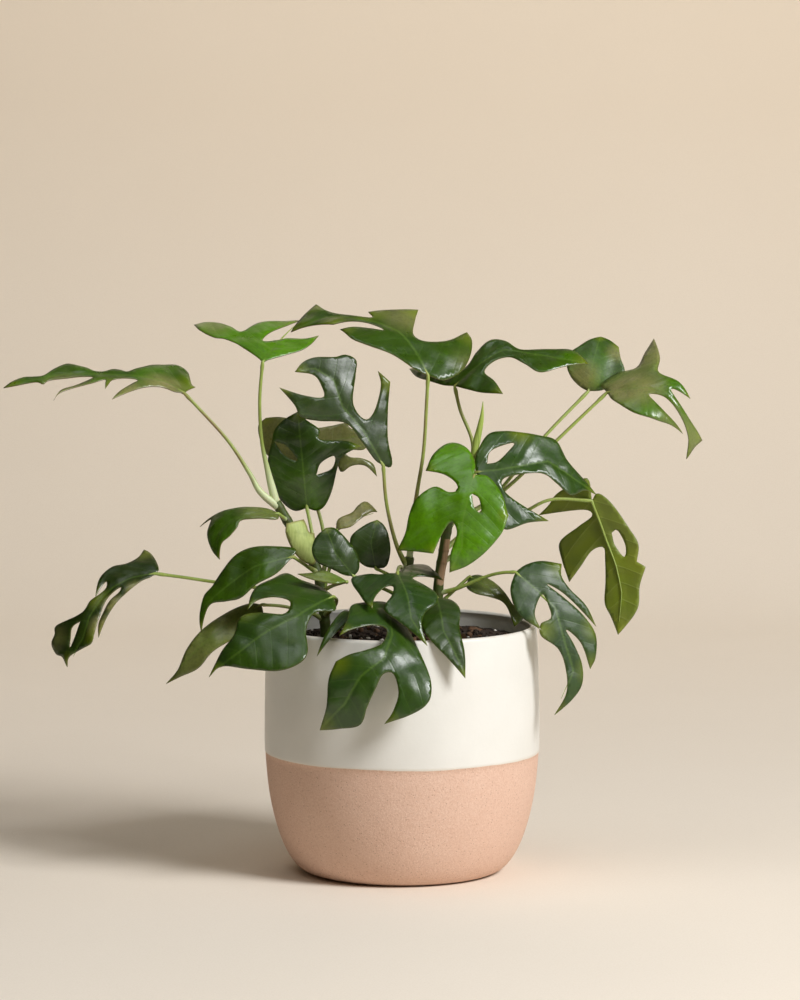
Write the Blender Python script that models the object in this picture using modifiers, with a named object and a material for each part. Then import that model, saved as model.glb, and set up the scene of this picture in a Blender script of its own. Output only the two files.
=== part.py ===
"""Potted mini monstera: three vines with split leaves in a two-tone ceramic pot.

Metres, +Z up. The origin is the centre of the pot's flat foot.
Every leaf is one piece, blade and stalk together. The leaves are drawn on a plan in
millimetres: x to the right, y to the back, h above the pot's rim, from the pot's axis.
"""

import math
from collections import namedtuple

import bmesh
import bpy
from mathutils import Vector
from mathutils.geometry import delaunay_2d_cdt

# The pot.
POT_HEIGHT = 0.162
RIM_RADIUS = 0.088
BELLY_SWELL = 0.002
BELLY_HEIGHT = 0.090
FOOT_RADIUS = 0.060
POT_WALL = 0.0045
POT_FLOOR = 0.009
POT_STEPS = 40

# The soil, and the gap that touching pieces keep.
SOIL_DROP = 0.011
SOIL_DISH = 0.0015
SOIL_FLAT_SHARE = 0.8
CLEARANCE = 0.0003

# The plant.
PLANT_HEIGHT = 0.202
LEAF_REACH = 0.170
BLADE_THICKNESS = 0.0009
VINE_RADIUS = 0.0033
VINE_FOOT_FLARE = 1.06
VINE_TIP_FLARE = 0.94
BRACT_STANDOFF = 0.00134
STALK_ROOT_RADIUS = 0.0016
STALK_TOP_RADIUS = 0.0011
TUBE_RESOLUTION = 2

# The plan that the leaves are drawn on: its rim, its soil, its height, how far the
# leaves stand out past its rim, and the room that the wall takes inside the rim. The
# sizes above stretch it.
MM = 0.001
PLAN_RIM = 88.0
PLAN_SOIL = -11.0
PLAN_HEIGHT = 202.0
PLAN_REACH = 170.0
PLAN_WALL = 6.0

# How finely an outline and the blade inside it are divided, in blade lengths.
OUTLINE_STEP = 0.10
BLADE_GRID = 0.19
EDGE_MARGIN = 0.06
MIDRIB_ANCHOR = 0.09

Leaf = namedtuple("Leaf", "name vine height stalk base tip face arch fold curl sweep outline windows", defaults=[()])
Vine = namedtuple("Vine", "name points")


def tip(u, v):
    """A sharp point of an outline; all its other points are passed in a smooth curve."""
    return (u, v, True)


# The three vines, from the soil up.
LEFT = Vine("vine_left", [
    (-50, -8, PLAN_SOIL), (-50, -8, 0), (-52, -7, 18), (-55, -4, 35), (-60, -3, 44), (-66, -2, 53),
    (-76, -2, 70), (-82, -2, 80),
])
CENTRE = Vine("vine_centre", [
    (0, 0, PLAN_SOIL), (0, 0, 0), (1, 0, 14), (3, -1, 30), (5, -2, 44),
])
RIGHT = Vine("vine_right", [
    (22, -18, PLAN_SOIL), (22, -18, 0), (23, -18, 16), (24, -18, 31), (27, -18, 50), (30, -18, 68),
    (36, -20, 84), (41, -24, 94),
])

# Each leaf: the vine and the height it leaves it at, its stalk's bends, where the blade
# begins and ends, which way its upper side looks, how far its midrib bows up, how its
# halves fold (degrees) and curl, how far it sweeps sideways, and its outline.
LEAVES = [
    Leaf(
        "leaf_left_1", LEFT, 76, [(-92, -5, 87), (-99, -4, 99), (-113, -2, 120), (-131, -1, 140)],
        (-141, 0, 151), (-258, -8, 155), (0, -0.5, 0.87), 0.08, 0, -0.4, 0,
        [
            (-0.01, 0.02), (-0.03, 0.05), tip(-0.06, 0.09), (-0.04, 0.1), (-0.03, 0.16),
            (-0.02, 0.22), (0.01, 0.26), (0.05, 0.27), (0.11, 0.24), (0.18, 0.21), (0.23, 0.17),
            (0.28, 0.13), (0.32, 0.09), (0.36, 0.1), (0.4, 0.1), (0.45, 0.07), (0.5, 0.07),
            (0.54, 0.1), (0.58, 0.12), (0.62, 0.14), (0.66, 0.15), (0.72, 0.11), (0.78, 0.05),
            (0.84, 0.05), (0.89, 0.06), (0.95, 0.04), tip(1.0, 0.0), (0.93, -0.01), (0.82, -0.01),
            (0.78, -0.04), (0.75, -0.01), (0.65, 0.0), (0.58, 0.01), (0.51, 0.01), (0.52, -0.01),
            (0.6, -0.07), (0.68, -0.11), tip(0.72, -0.2), (0.69, -0.14), (0.62, -0.1),
            (0.51, -0.05), (0.44, -0.01), (0.44, -0.04), tip(0.44, -0.1), (0.42, -0.05),
            (0.4, -0.01), (0.33, 0.02), (0.26, 0.02), (0.29, -0.02), (0.36, -0.11), tip(0.4, -0.19),
            (0.3, -0.1), (0.22, -0.04), (0.15, -0.01), (0.1, -0.01), (0.05, -0.02),
        ],
    ),
    Leaf(
        "leaf_left_2", LEFT, 200, [(-87, -3, 100), (-91, -6, 121), (-92, -9, 147)],
        (-90, -12, 172), (-67, 42, 196), (0, -0.5, 0.86), 0.04, 0, -0.3, 0,
        [
            (0.09, 0.08), (0.21, 0.18), (0.35, 0.28), (0.51, 0.33), tip(0.73, 0.32), (0.58, 0.24),
            (0.50, 0.06), (0.37, -0.08), (0.37, -0.16), (0.54, -0.15), (0.79, -0.05), tip(1.0, 0.0),
            (0.88, -0.11), (0.76, -0.34), (0.50, -0.44), (0.59, -0.62), (0.72, -0.93),
            tip(0.67, -1.07), (0.48, -0.93), (0.34, -0.70), (0.31, -0.54), (0.12, -0.20),
        ],
    ),
    Leaf(
        "leaf_left_3", LEFT, 68, [], (-80, -14, 74), (-118, -26, 45), (-0.2, -0.7, 0.7),
        0.16, -5, -0.4, 0,
        [
            (0.06, 0.16), (0.20, 0.32), (0.34, 0.46), (0.52, 0.59), (0.72, 0.69), tip(0.94, 0.76),
            (0.84, 0.71), (0.74, 0.64), (0.91, 0.50), (0.99, 0.23), tip(1.0, 0.0), (0.85, 0.13),
            (0.71, 0.10), (0.56, 0.12), (0.45, 0.18), (0.30, 0.06), (0.08, -0.10),
        ],
    ),
    Leaf(
        "leaf_left_4", LEFT, 40, [(-58, 2, 55)], (-62, 7, 75), (-68, 10, 138), (0, -0.95, 0.3),
        0.08, -8, -0.3, 0,
        [
            (-0.04, 0.10), (0.0, 0.19), (0.15, 0.28), (0.38, 0.36), (0.50, 0.43), tip(0.59, 0.63),
            (0.66, 0.48), (0.70, 0.20), (0.80, 0.21), (0.91, 0.08), tip(1.0, 0.0), (0.93, -0.16),
            (0.84, -0.26), (0.72, -0.30), (0.52, -0.36), (0.30, -0.33), (0.10, -0.27),
            (-0.02, -0.14),
        ],
        [
            [(0.33, 0.13), (0.45, 0.19), (0.51, 0.34), (0.38, 0.30)],
            [(0.72, -0.27), (0.66, -0.15), (0.50, -0.05), (0.57, -0.18)],
        ],
    ),
    Leaf(
        "leaf_left_5", LEFT, 34, [(-61, -14, 39)], (-70, -34, 48), (-130, -30, -2),
        (-0.2, -0.8, 0.6), 0.10, -6, -0.3, 0,
        [
            (-0.05, 0.06), (0.06, 0.18), (0.22, 0.31), (0.38, 0.35), (0.56, 0.30), (0.70, 0.25),
            (0.81, 0.24), (0.93, 0.13), tip(1.0, 0.0), (0.90, 0.08), (0.79, 0.12), (0.66, 0.02),
            (0.54, -0.05), (0.37, -0.04), (0.18, -0.06),
        ],
    ),
    Leaf(
        "leaf_left_6", LEFT, 27, [(-50, 6, 42), (-53, 14, 66)], (-65, 22, 100), (-20, 24, 120),
        (0.2, -0.9, 0.3), 0.05, 0, -0.3, 0,
        [
            (0.12, -0.03), (0.25, -0.07), (0.41, -0.03), (0.49, 0.05), (0.44, 0.17), (0.45, 0.27),
            (0.61, 0.25), (0.77, 0.32), tip(0.86, 0.51), (0.88, 0.34), (0.77, 0.21), (0.63, 0.13),
            (0.6, 0.04), (0.67, 0.04), (0.82, 0.11), (0.9, 0.09), tip(1.0, 0.01), (0.94, -0.07),
            (0.79, -0.23), (0.78, -0.31), (0.56, -0.36), (0.33, -0.44), (0.15, -0.64),
            (-0.02, -0.77), tip(-0.21, -0.85), (-0.36, -0.78), (-0.39, -0.42), (-0.21, -0.13),
            (-0.11, -0.02),
        ],
    ),
    Leaf(
        "leaf_left_7", LEFT, 18, [(-47, -5, 38), (-45, -6, 50)], (-43, -4, 62), (-16, 6, 73),
        (0, -0.8, 0.6), 0.1, 0, -0.2, 0,
        [
            (0.28, 0.12), (0.56, 0.05), (0.85, -0.02), tip(1.0, 0.0), (0.90, -0.30), (0.68, -0.28),
            (0.47, -0.17), (0.15, -0.18),
        ],
    ),
    Leaf(
        "leaf_left_8", LEFT, 12, [(-67, 2, 20), (-93, 4, 23), (-123, 4, 27), (-142, 3, 30)],
        (-161, 2, 33), (-218, -12, -27), (-0.3, -0.8, 0.5), 0.12, -5, -0.3, 0,
        [
            (-0.04, 0.01), (-0.07, 0.07), (-0.1, 0.16), (-0.11, 0.23), tip(-0.1, 0.28),
            (-0.02, 0.24), (0.08, 0.25), (0.17, 0.31), (0.28, 0.31), (0.36, 0.27), tip(0.45, 0.19),
            (0.36, 0.22), (0.3, 0.23), (0.34, 0.18), (0.42, 0.18), (0.5, 0.2), (0.59, 0.18),
            (0.67, 0.21), (0.73, 0.25), (0.84, 0.32), (0.89, 0.28), (0.96, 0.26), (0.99, 0.16),
            (0.97, 0.09), tip(1.0, 0.0), (0.93, 0.03), (0.82, -0.03), (0.74, -0.07), (0.67, -0.04),
            (0.57, 0.01), (0.48, 0.06), (0.41, 0.09), (0.34, 0.1), (0.26, 0.09), (0.3, 0.06),
            (0.4, 0.06), (0.51, 0.02), (0.6, -0.02), tip(0.67, -0.09), (0.54, -0.04), (0.39, 0.0),
            (0.26, 0.01), (0.12, 0.01), (0.05, -0.01),
        ],
        [[(0.67, 0.14), (0.75, 0.17), (0.82, 0.12), (0.88, 0.07), (0.79, 0.09)]],
    ),
    Leaf(
        "leaf_left_9", LEFT, 2, [(-58, -11, 8), (-76, -14, 13)], (-91, -18, 15), (-153, -26, -36),
        (-0.2, -0.75, 0.6), 0.10, -6, -0.3, 0,
        [
            (0.08, 0.07), (0.25, 0.11), (0.49, 0.12), (0.68, 0.08), (0.85, 0.0), tip(1.0, 0.0),
            (0.88, -0.06), (0.72, -0.13), (0.55, -0.11), (0.38, -0.13), (0.20, -0.16),
            (0.05, -0.10),
        ],
    ),
    Leaf(
        "leaf_left_10", LEFT, 6, [(-44, -24, 14), (-42, -38, 20)], (-44, -48, 24), (-123, -72, -25),
        (-0.15, -0.7, 0.7), 0.14, -6, -0.3, 0,
        [
            (0.02, 0.13), (0.08, 0.26), (0.12, 0.38), (0.24, 0.37), (0.36, 0.37), (0.45, 0.31),
            tip(0.53, 0.21), (0.43, 0.24), (0.32, 0.18), (0.27, 0.08), (0.36, 0.0), (0.48, 0.12),
            (0.60, 0.19), (0.71, 0.10), (0.83, 0.07), (0.92, 0.03), tip(1.0, 0.0), (0.90, -0.02),
            (0.78, -0.18), (0.64, -0.33), (0.50, -0.38), (0.39, -0.34), (0.30, -0.18),
            (0.18, -0.09), (0.05, -0.12),
        ],
    ),
    Leaf(
        "leaf_left_11", LEFT, 22, [(-45, -18, 27), (-38, -34, 31)], (-35, -44, 33), (-67, -44, 38),
        (0, -0.6, 0.8), 0.05, 0, -0.2, 0,
        [
            (0.15, 0.06), (0.36, 0.12), (0.51, 0.14), (0.74, 0.04), tip(1.0, 0.0), (0.78, -0.12),
            (0.50, -0.17), (0.20, -0.16),
        ],
    ),
    Leaf(
        "leaf_centre_1", CENTRE, 200, [(7, -4, 66), (10, -6, 88), (14, -8, 114), (16, -10, 147)],
        (17, -12, 163), (-73, 30, 189), (0.1, -0.55, 0.83), 0.16, 0, -0.3, 0.12,
        [
            (-0.05, 0.08), (-0.04, 0.22), (0.01, 0.34), (0.08, 0.44), tip(0.13, 0.46),
            (0.13, 0.28), (0.18, 0.14), (0.25, 0.12), (0.32, 0.24), tip(0.36, 0.34), (0.44, 0.24),
            tip(0.56, 0.12), (0.51, 0.07), (0.60, 0.05), (0.73, 0.07), (0.82, 0.14),
            tip(0.89, 0.25), (0.95, 0.12), tip(1.0, 0.0), (0.88, -0.02), tip(0.72, -0.06),
            (0.62, -0.02), (0.50, 0.0), (0.38, 0.0), (0.48, -0.05), (0.58, -0.08),
            tip(0.65, -0.12), (0.50, -0.20), (0.35, -0.19), (0.20, -0.12), (0.06, -0.06),
        ],
    ),
    Leaf(
        "leaf_centre_2", CENTRE, 36, [(-4, -9, 54), (-10, -14, 80)], (-12, -16, 105),
        (-69, -22, 166), (0.1, -1, 0.2), 0.03, -6, -0.2, 0,
        [
            (-0.05, 0.03), (-0.02, 0.08), (0.12, 0.17), (0.28, 0.33), tip(0.42, 0.50),
            tip(0.55, 0.49), (0.45, 0.42), (0.35, 0.24), (0.36, 0.14), (0.51, 0.16), (0.65, 0.33),
            (0.73, 0.42), (0.82, 0.39), (0.87, 0.31), (0.97, 0.20), (1.01, 0.10), tip(1.0, 0.0),
            (0.88, 0.09), (0.77, 0.07), (0.71, 0.02), (0.83, -0.08), tip(1.0, -0.17),
            (0.82, -0.18), (0.72, -0.21), (0.60, -0.13), (0.44, 0.01), (0.25, 0.0), (0.08, -0.02),
        ],
    ),
    Leaf(
        "leaf_centre_3", CENTRE, 22, [(0, -18, 38), (-2, -36, 41)], (-3, -50, 39), (16, -95, -2),
        (0.05, -0.6, 0.8), 0.12, -5, -0.3, 0,
        [
            (-0.08, 0.14), (-0.20, 0.24), (-0.24, 0.40), (-0.06, 0.46), (0.14, 0.46),
            (0.32, 0.45), tip(0.45, 0.41), (0.30, 0.34), (0.19, 0.20), (0.22, 0.12), (0.36, 0.18),
            (0.50, 0.31), (0.68, 0.22), (0.84, 0.11), tip(1.0, 0.0), (0.79, 0.0), (0.65, -0.09),
            (0.56, -0.23), (0.43, -0.27), (0.28, -0.20), (0.14, -0.11), (0.11, -0.22),
            (0.14, -0.34), tip(0.19, -0.42), (0.0, -0.39), (-0.16, -0.36), (-0.20, -0.24),
            (-0.12, -0.12),
        ],
    ),
    Leaf(
        "leaf_centre_4", CENTRE, 26, [(-7, -14, 33)], (-17, -24, 39), (-16, -17, 70),
        (0.1, -0.8, 0.6), 0.08, -6, -0.3, 0,
        [
            (0.05, 0.22), (0.37, 0.29), (0.68, 0.24), (0.89, 0.14), tip(1.0, 0.0), (0.88, -0.26),
            (0.66, -0.52), (0.40, -0.54), (0.18, -0.42), (0.03, -0.22),
        ],
    ),
    Leaf(
        "leaf_centre_5", CENTRE, 16, [(-10, -16, 24), (-22, -27, 30)], (-31, -34, 35),
        (-49, -30, 66), (0, -0.8, 0.6), 0.08, -6, -0.3, 0,
        [
            (0.07, 0.16), (0.27, 0.25), (0.50, 0.24), (0.78, 0.19), (0.93, 0.13), tip(1.0, 0.0),
            (0.95, -0.25), (0.78, -0.44), (0.54, -0.47), (0.30, -0.30), (0.10, -0.15),
        ],
    ),
    Leaf(
        "leaf_centre_6", CENTRE, 6, [(-2, -20, 14), (-5, -50, 20)], (-8, -66, 19), (-52, -100, -55),
        (-0.1, -0.9, 0.4), 0.26, -5, -0.3, 0,
        [
            (-0.03, 0.06), (0.05, 0.17), (0.12, 0.22), (0.26, 0.17), tip(0.40, 0.15), (0.32, 0.10),
            (0.21, -0.01), (0.19, -0.10), (0.31, -0.13), (0.42, -0.06), (0.50, 0.02),
            tip(0.58, 0.08), (0.71, 0.07), (0.86, 0.01), tip(1.0, 0.0), (0.95, -0.12),
            (0.88, -0.25), (0.76, -0.25), (0.62, -0.25), (0.51, -0.25), (0.47, -0.31),
            (0.58, -0.40), (0.72, -0.42), tip(0.82, -0.40), (0.70, -0.53), (0.58, -0.60),
            (0.46, -0.60), (0.32, -0.52), (0.16, -0.32), (0.04, -0.13),
        ],
    ),
    Leaf(
        "leaf_centre_7", CENTRE, 2, [(-12, -24, 8), (-24, -48, 15)], (-32, -60, 15), (-54, -84, -10),
        (-0.2, -0.7, 0.7), 0.12, 0, -0.2, 0,
        [
            (0.03, 0.12), (0.37, 0.09), (0.70, 0.05), tip(1.0, 0.0), (0.75, -0.05), (0.45, -0.10),
            (0.12, -0.11),
        ],
    ),
    Leaf(
        "leaf_right_1", RIGHT, 88, [(44, -32, 97)], (47, -40, 103), (126, -14, 86),
        (0.1, -0.85, 0.5), 0.12, -4, -0.3, 0,
        [
            (0.06, 0.11), (0.10, 0.24), (0.16, 0.38), (0.23, 0.45), (0.40, 0.38), tip(0.57, 0.34),
            (0.37, 0.26), (0.22, 0.16), (0.19, 0.06), (0.30, 0.01), (0.50, -0.03), (0.62, 0.03),
            (0.75, 0.09), (0.88, 0.01), tip(1.0, 0.0), (0.82, -0.12), (0.72, -0.21), (0.64, -0.36),
            (0.49, -0.37), tip(0.33, -0.37), (0.20, -0.37), (0.08, -0.33), (0.0, -0.14),
        ],
        [[(0.08, -0.07), (0.11, -0.19), (0.28, -0.27), (0.22, -0.17), (0.15, -0.09)]],
    ),
    Leaf(
        "leaf_right_2", RIGHT, 80, [(39, -33, 88), (43, -42, 96)], (46, -48, 102), (30, -66, 41),
        (-0.15, -0.85, 0.5), 0.10, -6, -0.3, 0,
        [
            (-0.14, 0.04), (-0.30, 0.19), (-0.35, 0.38), (-0.20, 0.50), tip(0.01, 0.51),
            (0.03, 0.32), (0.10, 0.17), (0.19, 0.11), (0.22, 0.20), (0.18, 0.36), (0.34, 0.51),
            (0.52, 0.54), (0.72, 0.54), tip(0.91, 0.59), (0.88, 0.40), tip(0.86, 0.20),
            (0.66, 0.15), (0.52, 0.08), (0.62, 0.0), (0.82, 0.02), tip(1.0, 0.0), (0.90, -0.17),
            (0.73, -0.32), (0.52, -0.42), tip(0.32, -0.44), (0.12, -0.32), (-0.02, -0.14),
        ],
        [[(0.20, -0.04), (0.23, -0.12), (0.37, -0.18), (0.33, -0.10)]],
    ),
    Leaf(
        "leaf_right_3", RIGHT, 72, [(48, -10, 76), (71, -4, 92), (103, 3, 122)],
        (133, 6, 151), (185, -4, 108), (0.3, -0.85, 0.45), 0.38, 0, 0, 0,
        [
            (0.12, 0.12), (0.33, 0.19), (0.55, 0.11), (0.69, 0.02), tip(0.82, -0.05),
            (0.55, -0.02), (0.34, -0.07), (0.46, -0.14), (0.68, -0.13), (0.88, -0.10),
            tip(1.0, 0.0), (0.98, -0.13), tip(0.99, -0.26), (0.78, -0.20), (0.58, -0.21),
            (0.46, -0.26), tip(0.66, -0.33), (0.48, -0.37), (0.27, -0.36), (0.17, -0.55),
            tip(0.0, -0.80), (0.03, -0.58), (0.06, -0.37), (-0.06, -0.30), (-0.10, -0.13),
        ],
    ),
    Leaf(
        "leaf_right_4", RIGHT, 62, [(37, -8, 76), (42, -4, 94), (46, 2, 117), (38, 6, 139)],
        (34, 8, 155), (121, 2, 170), (-0.05, -0.62, 0.78), 0.12, 0, -0.2, 0,
        [
            (0.08, 0.09), (0.20, 0.20), tip(0.36, 0.29), (0.31, 0.14), (0.24, 0.0), (0.32, -0.08),
            (0.44, -0.08), (0.54, 0.02), (0.65, 0.13), (0.82, 0.07), tip(1.0, 0.0), (0.90, -0.12),
            (0.74, -0.12), (0.53, -0.14), (0.42, -0.27), (0.30, -0.33), (0.19, -0.25),
            (0.11, -0.14), (0.0, -0.16), (-0.18, -0.36), tip(-0.38, -0.58), (-0.30, -0.38),
            (-0.18, -0.20), (-0.08, -0.07),
        ],
    ),
    Leaf(
        "leaf_right_5", RIGHT, 50, [(44, -3, 64), (67, 3, 91), (93, 16, 121)],
        (122, 28, 150), (131, 46, 185), (-0.2, -0.8, 0.5), 0.1, -10, 0, 0,
        [
            (0.04, 0.22), (0.16, 0.42), (0.40, 0.54), (0.66, 0.42), tip(0.87, 0.34),
            (0.96, 0.17), tip(1.0, 0.0), (0.92, -0.18), (0.78, -0.32), (0.62, -0.46),
            (0.40, -0.45), (0.20, -0.34), (0.06, -0.16),
        ],
    ),
    Leaf(
        "leaf_right_6", RIGHT, 42, [(46, -11, 54), (64, -6, 65), (81, 0, 74), (98, 5, 81)],
        (124, 8, 80), (141, -4, -7), (0.3, 0.85, 0.35), 0.10, 4, -0.2, 0,
        [
            (-0.04, 0.06), (0.04, 0.13), (0.25, 0.21), (0.38, 0.25), tip(0.50, 0.21),
            tip(0.55, 0.27), (0.68, 0.20), (0.84, 0.16), tip(1.0, 0.0), (0.86, -0.05),
            (0.75, -0.09), (0.60, -0.06), (0.44, -0.03), (0.35, -0.02), (0.36, -0.12),
            (0.46, -0.24), tip(0.55, -0.35), (0.38, -0.37), (0.25, -0.35), (0.17, -0.18),
            (0.11, -0.04), (0.06, -0.07), (0.04, -0.26), tip(0.03, -0.45), (-0.03, -0.34),
            (-0.09, -0.26), (-0.14, -0.10), (-0.16, 0.03),
        ],
        [[(0.26, 0.07), (0.25, 0.12), (0.37, 0.15), (0.45, 0.12), (0.35, 0.07)]],
    ),
    Leaf(
        "leaf_right_7", RIGHT, 22, [(36, -22, 26), (54, -27, 34), (64, -31, 37)],
        (73, -34, 38), (98, -44, -54), (0.1, -0.9, 0.35), 0.08, -5, -0.3, 0,
        [
            (0.10, 0.07), (0.22, 0.08), (0.31, 0.05), tip(0.42, -0.05), (0.30, -0.04),
            (0.19, -0.13), (0.28, -0.15), (0.36, -0.14), (0.38, -0.06), (0.46, -0.04),
            (0.57, -0.13), (0.70, -0.15), (0.87, -0.12), tip(1.0, 0.0), (0.93, -0.15),
            (0.85, -0.24), (0.72, -0.27), (0.58, -0.25), (0.46, -0.22), (0.58, -0.30),
            tip(0.77, -0.32), (0.70, -0.38), (0.55, -0.42), (0.40, -0.37), (0.26, -0.28),
            (0.13, -0.18), (0.21, -0.27), (0.35, -0.36), tip(0.50, -0.44), (0.34, -0.41),
            (0.20, -0.33), (0.10, -0.30), tip(0.02, -0.33), (-0.03, -0.20), (-0.03, -0.09),
        ],
    ),
    Leaf(
        "leaf_right_8", RIGHT, 14, [(34, -16, 24)], (44, -14, 33), (73, -22, 1), (0.2, -0.7, 0.7),
        0.10, -5, -0.3, 0,
        [
            (0.09, 0.19), (0.25, 0.18), (0.45, 0.04), (0.66, -0.08), tip(1.0, 0.0), (0.98, -0.24),
            (0.74, -0.20), (0.50, -0.22), (0.27, -0.20), (0.08, -0.13),
        ],
    ),
    Leaf(
        "leaf_right_9", RIGHT, 8, [(22, -32, 17), (22, -46, 23)], (22, -56, 24), (40, -93, -23),
        (0.1, -0.7, 0.7), 0.16, -5, -0.3, 0,
        [
            (0.07, 0.15), (0.24, 0.26), (0.41, 0.29), (0.60, 0.24), (0.80, 0.13), tip(1.0, 0.0),
            (0.76, -0.05), (0.50, -0.07), (0.25, -0.16), (0.08, -0.13),
        ],
    ),
]

# The bract is a blade with no stalk; the spear is a leaf still rolled up.
BRACT = Leaf(
    "bract_left", LEFT, 38, [], (-58, -8, 39), (-75, -13, 67), (0, -1, 0.2), 0.06, -14, -1.2, 0,
    [
        (0.02, 0.08), (0.16, 0.20), (0.34, 0.32), tip(0.50, 0.42), (0.60, 0.32), (0.74, 0.36),
        tip(0.88, 0.38), (0.94, 0.20), tip(1.0, 0.0), (0.84, -0.12), (0.50, -0.18), (0.20, -0.14),
    ],
)
SPEAR = [(42, -25, 98), (45, -27, 108), (48, -28, 122), (51, -29, 136), (52, -29, 148)]
SPEAR_RADII = [0.0016, 0.0022, 0.0025, 0.0017, 0.0003]


def clear_scene():
    for obj in list(bpy.data.objects):
        bpy.data.objects.remove(obj, do_unlink=True)


def new_collection(name):
    collection = bpy.data.collections.new(name)
    bpy.context.scene.collection.children.link(collection)
    return collection


def make_material(name, colour, roughness):
    material = bpy.data.materials.new(name)
    material.use_nodes = True
    shader = material.node_tree.nodes["Principled BSDF"]
    shader.inputs["Base Color"].default_value = (*colour, 1.0)
    shader.inputs["Roughness"].default_value = roughness
    shader.inputs["Metallic"].default_value = 0.0
    material.diffuse_color = (*colour, 1.0)
    return material


def link_mesh(name, mesh, material, collection):
    obj = bpy.data.objects.new(name, mesh)
    mesh.materials.append(material)
    collection.objects.link(obj)
    return obj


# ---------------------------------------------------------------- the pot and its soil


def wall_radius(z):
    """The pot's outer radius at a height: a quarter-ellipse belly, then a slight taper."""
    if z < BELLY_HEIGHT:
        share = math.sqrt(max(0.0, 1 - (1 - z / BELLY_HEIGHT) ** 2))
        return FOOT_RADIUS + (RIM_RADIUS + BELLY_SWELL - FOOT_RADIUS) * share
    share = (z - BELLY_HEIGHT) / (POT_HEIGHT - BELLY_HEIGHT)
    return RIM_RADIUS + BELLY_SWELL * (1 - share**2)


def inner_radius(z, gap=0.0):
    """The inside wall, which follows the outside one a wall's thickness in."""
    return wall_radius(max(z - POT_FLOOR, 0.0)) - POT_WALL - gap


def heights(low, high, count):
    """Heights from high to low, closer together near the low end, where the wall turns in."""
    return [low + (high - low) * (1 - i / count) ** 2 for i in range(count + 1)]


def turned(name, profile, material, collection):
    """A solid of revolution from an (radius, height) profile that starts and ends on the axis."""
    mesh = bpy.data.meshes.new(name)
    points = [(radius, 0.0, z) for radius, z in profile]
    mesh.from_pydata(points, [(i, i + 1) for i in range(len(points) - 1)], [])
    obj = link_mesh(name, mesh, material, collection)
    screw = obj.modifiers.new("Turn", "SCREW")
    screw.steps = POT_STEPS
    screw.render_steps = POT_STEPS
    screw.use_merge_vertices = True
    screw.merge_threshold = 0.00001
    screw.use_smooth_shade = True
    return obj


def build_pot(collection):
    material = make_material("ceramic", (0.75, 0.60, 0.50), 0.45)
    lip_height = POT_HEIGHT - POT_WALL / 2
    inside = [(inner_radius(z), z) for z in heights(POT_FLOOR, lip_height, 9)]
    lip_centre = (inner_radius(lip_height) + wall_radius(lip_height)) / 2
    lip_radius = (wall_radius(lip_height) - inner_radius(lip_height)) / 2
    lip = [
        (lip_centre - lip_radius * math.cos(angle), lip_height + POT_WALL / 2 * math.sin(angle))
        for angle in (math.radians(45), math.radians(90), math.radians(135))
    ]
    outside = [(wall_radius(z), z) for z in heights(0.0, lip_height, 13)]
    profile = [(0.0, POT_FLOOR)] + inside[::-1] + lip + outside + [(0.0, 0.0)]
    return turned("pot", profile, material, collection)


def soil_height():
    return POT_HEIGHT - SOIL_DROP


def build_soil(collection):
    material = make_material("soil", (0.03, 0.022, 0.016), 0.95)
    top = soil_height()
    bottom = POT_FLOOR + CLEARANCE
    edge = top - SOIL_DISH
    flat = RIM_RADIUS * SOIL_FLAT_SHARE
    wall = [(inner_radius(z - CLEARANCE, CLEARANCE), z) for z in heights(bottom, edge, 6)]
    profile = [(0.0, top), (flat, top)] + wall + [(0.0, bottom)]
    return turned("soil", profile, material, collection)


# ---------------------------------------------------------------- from the plan to the pot


def on_pot(x, y, h):
    """A point of the plan, in metres, stretched to this pot's rim, soil and leaf sizes."""
    radius = math.hypot(x, y)
    if radius <= PLAN_RIM:
        spread = RIM_RADIUS / PLAN_RIM
    else:
        beyond = (radius - PLAN_RIM) / PLAN_REACH * LEAF_REACH
        spread = (RIM_RADIUS + beyond) / radius
    if h > 0:
        rise = PLANT_HEIGHT * h / PLAN_HEIGHT
    elif radius < PLAN_RIM - PLAN_WALL:
        rise = SOIL_DROP * h / -PLAN_SOIL
    else:
        rise = h * MM
    return Vector((x * spread, y * spread, POT_HEIGHT + rise))


# ---------------------------------------------------------------- curves and tubes


def smooth_through(points, pieces):
    """A Catmull-Rom curve through the points, each span cut into a number of pieces."""
    ends = [points[0] * 2 - points[1]] + list(points) + [points[-1] * 2 - points[-2]]
    path = []
    for a, b, c, d in zip(ends, ends[1:], ends[2:], ends[3:]):
        for i in range(pieces):
            t = i / pieces
            path.append(
                (b * 2 + (c - a) * t + (a * 2 - b * 5 + c * 4 - d) * t**2
                 + (b * 3 - a - c * 3 + d) * t**3) / 2
            )
    return path + [points[-1]]


def tube(name, path, radii, collection, material=None):
    """A round tube along a path, with a radius at each point and closed ends."""
    curve = bpy.data.curves.new(name, "CURVE")
    curve.dimensions = "3D"
    curve.bevel_depth = 1.0
    curve.bevel_resolution = TUBE_RESOLUTION
    curve.use_fill_caps = True
    spline = curve.splines.new("POLY")
    spline.points.add(len(path) - 1)
    for point, place, radius in zip(spline.points, path, radii):
        point.co = (*place, 1.0)
        point.radius = radius
    obj = bpy.data.objects.new(name, curve)
    if material:
        curve.materials.append(material)
    collection.objects.link(obj)
    return obj


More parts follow.
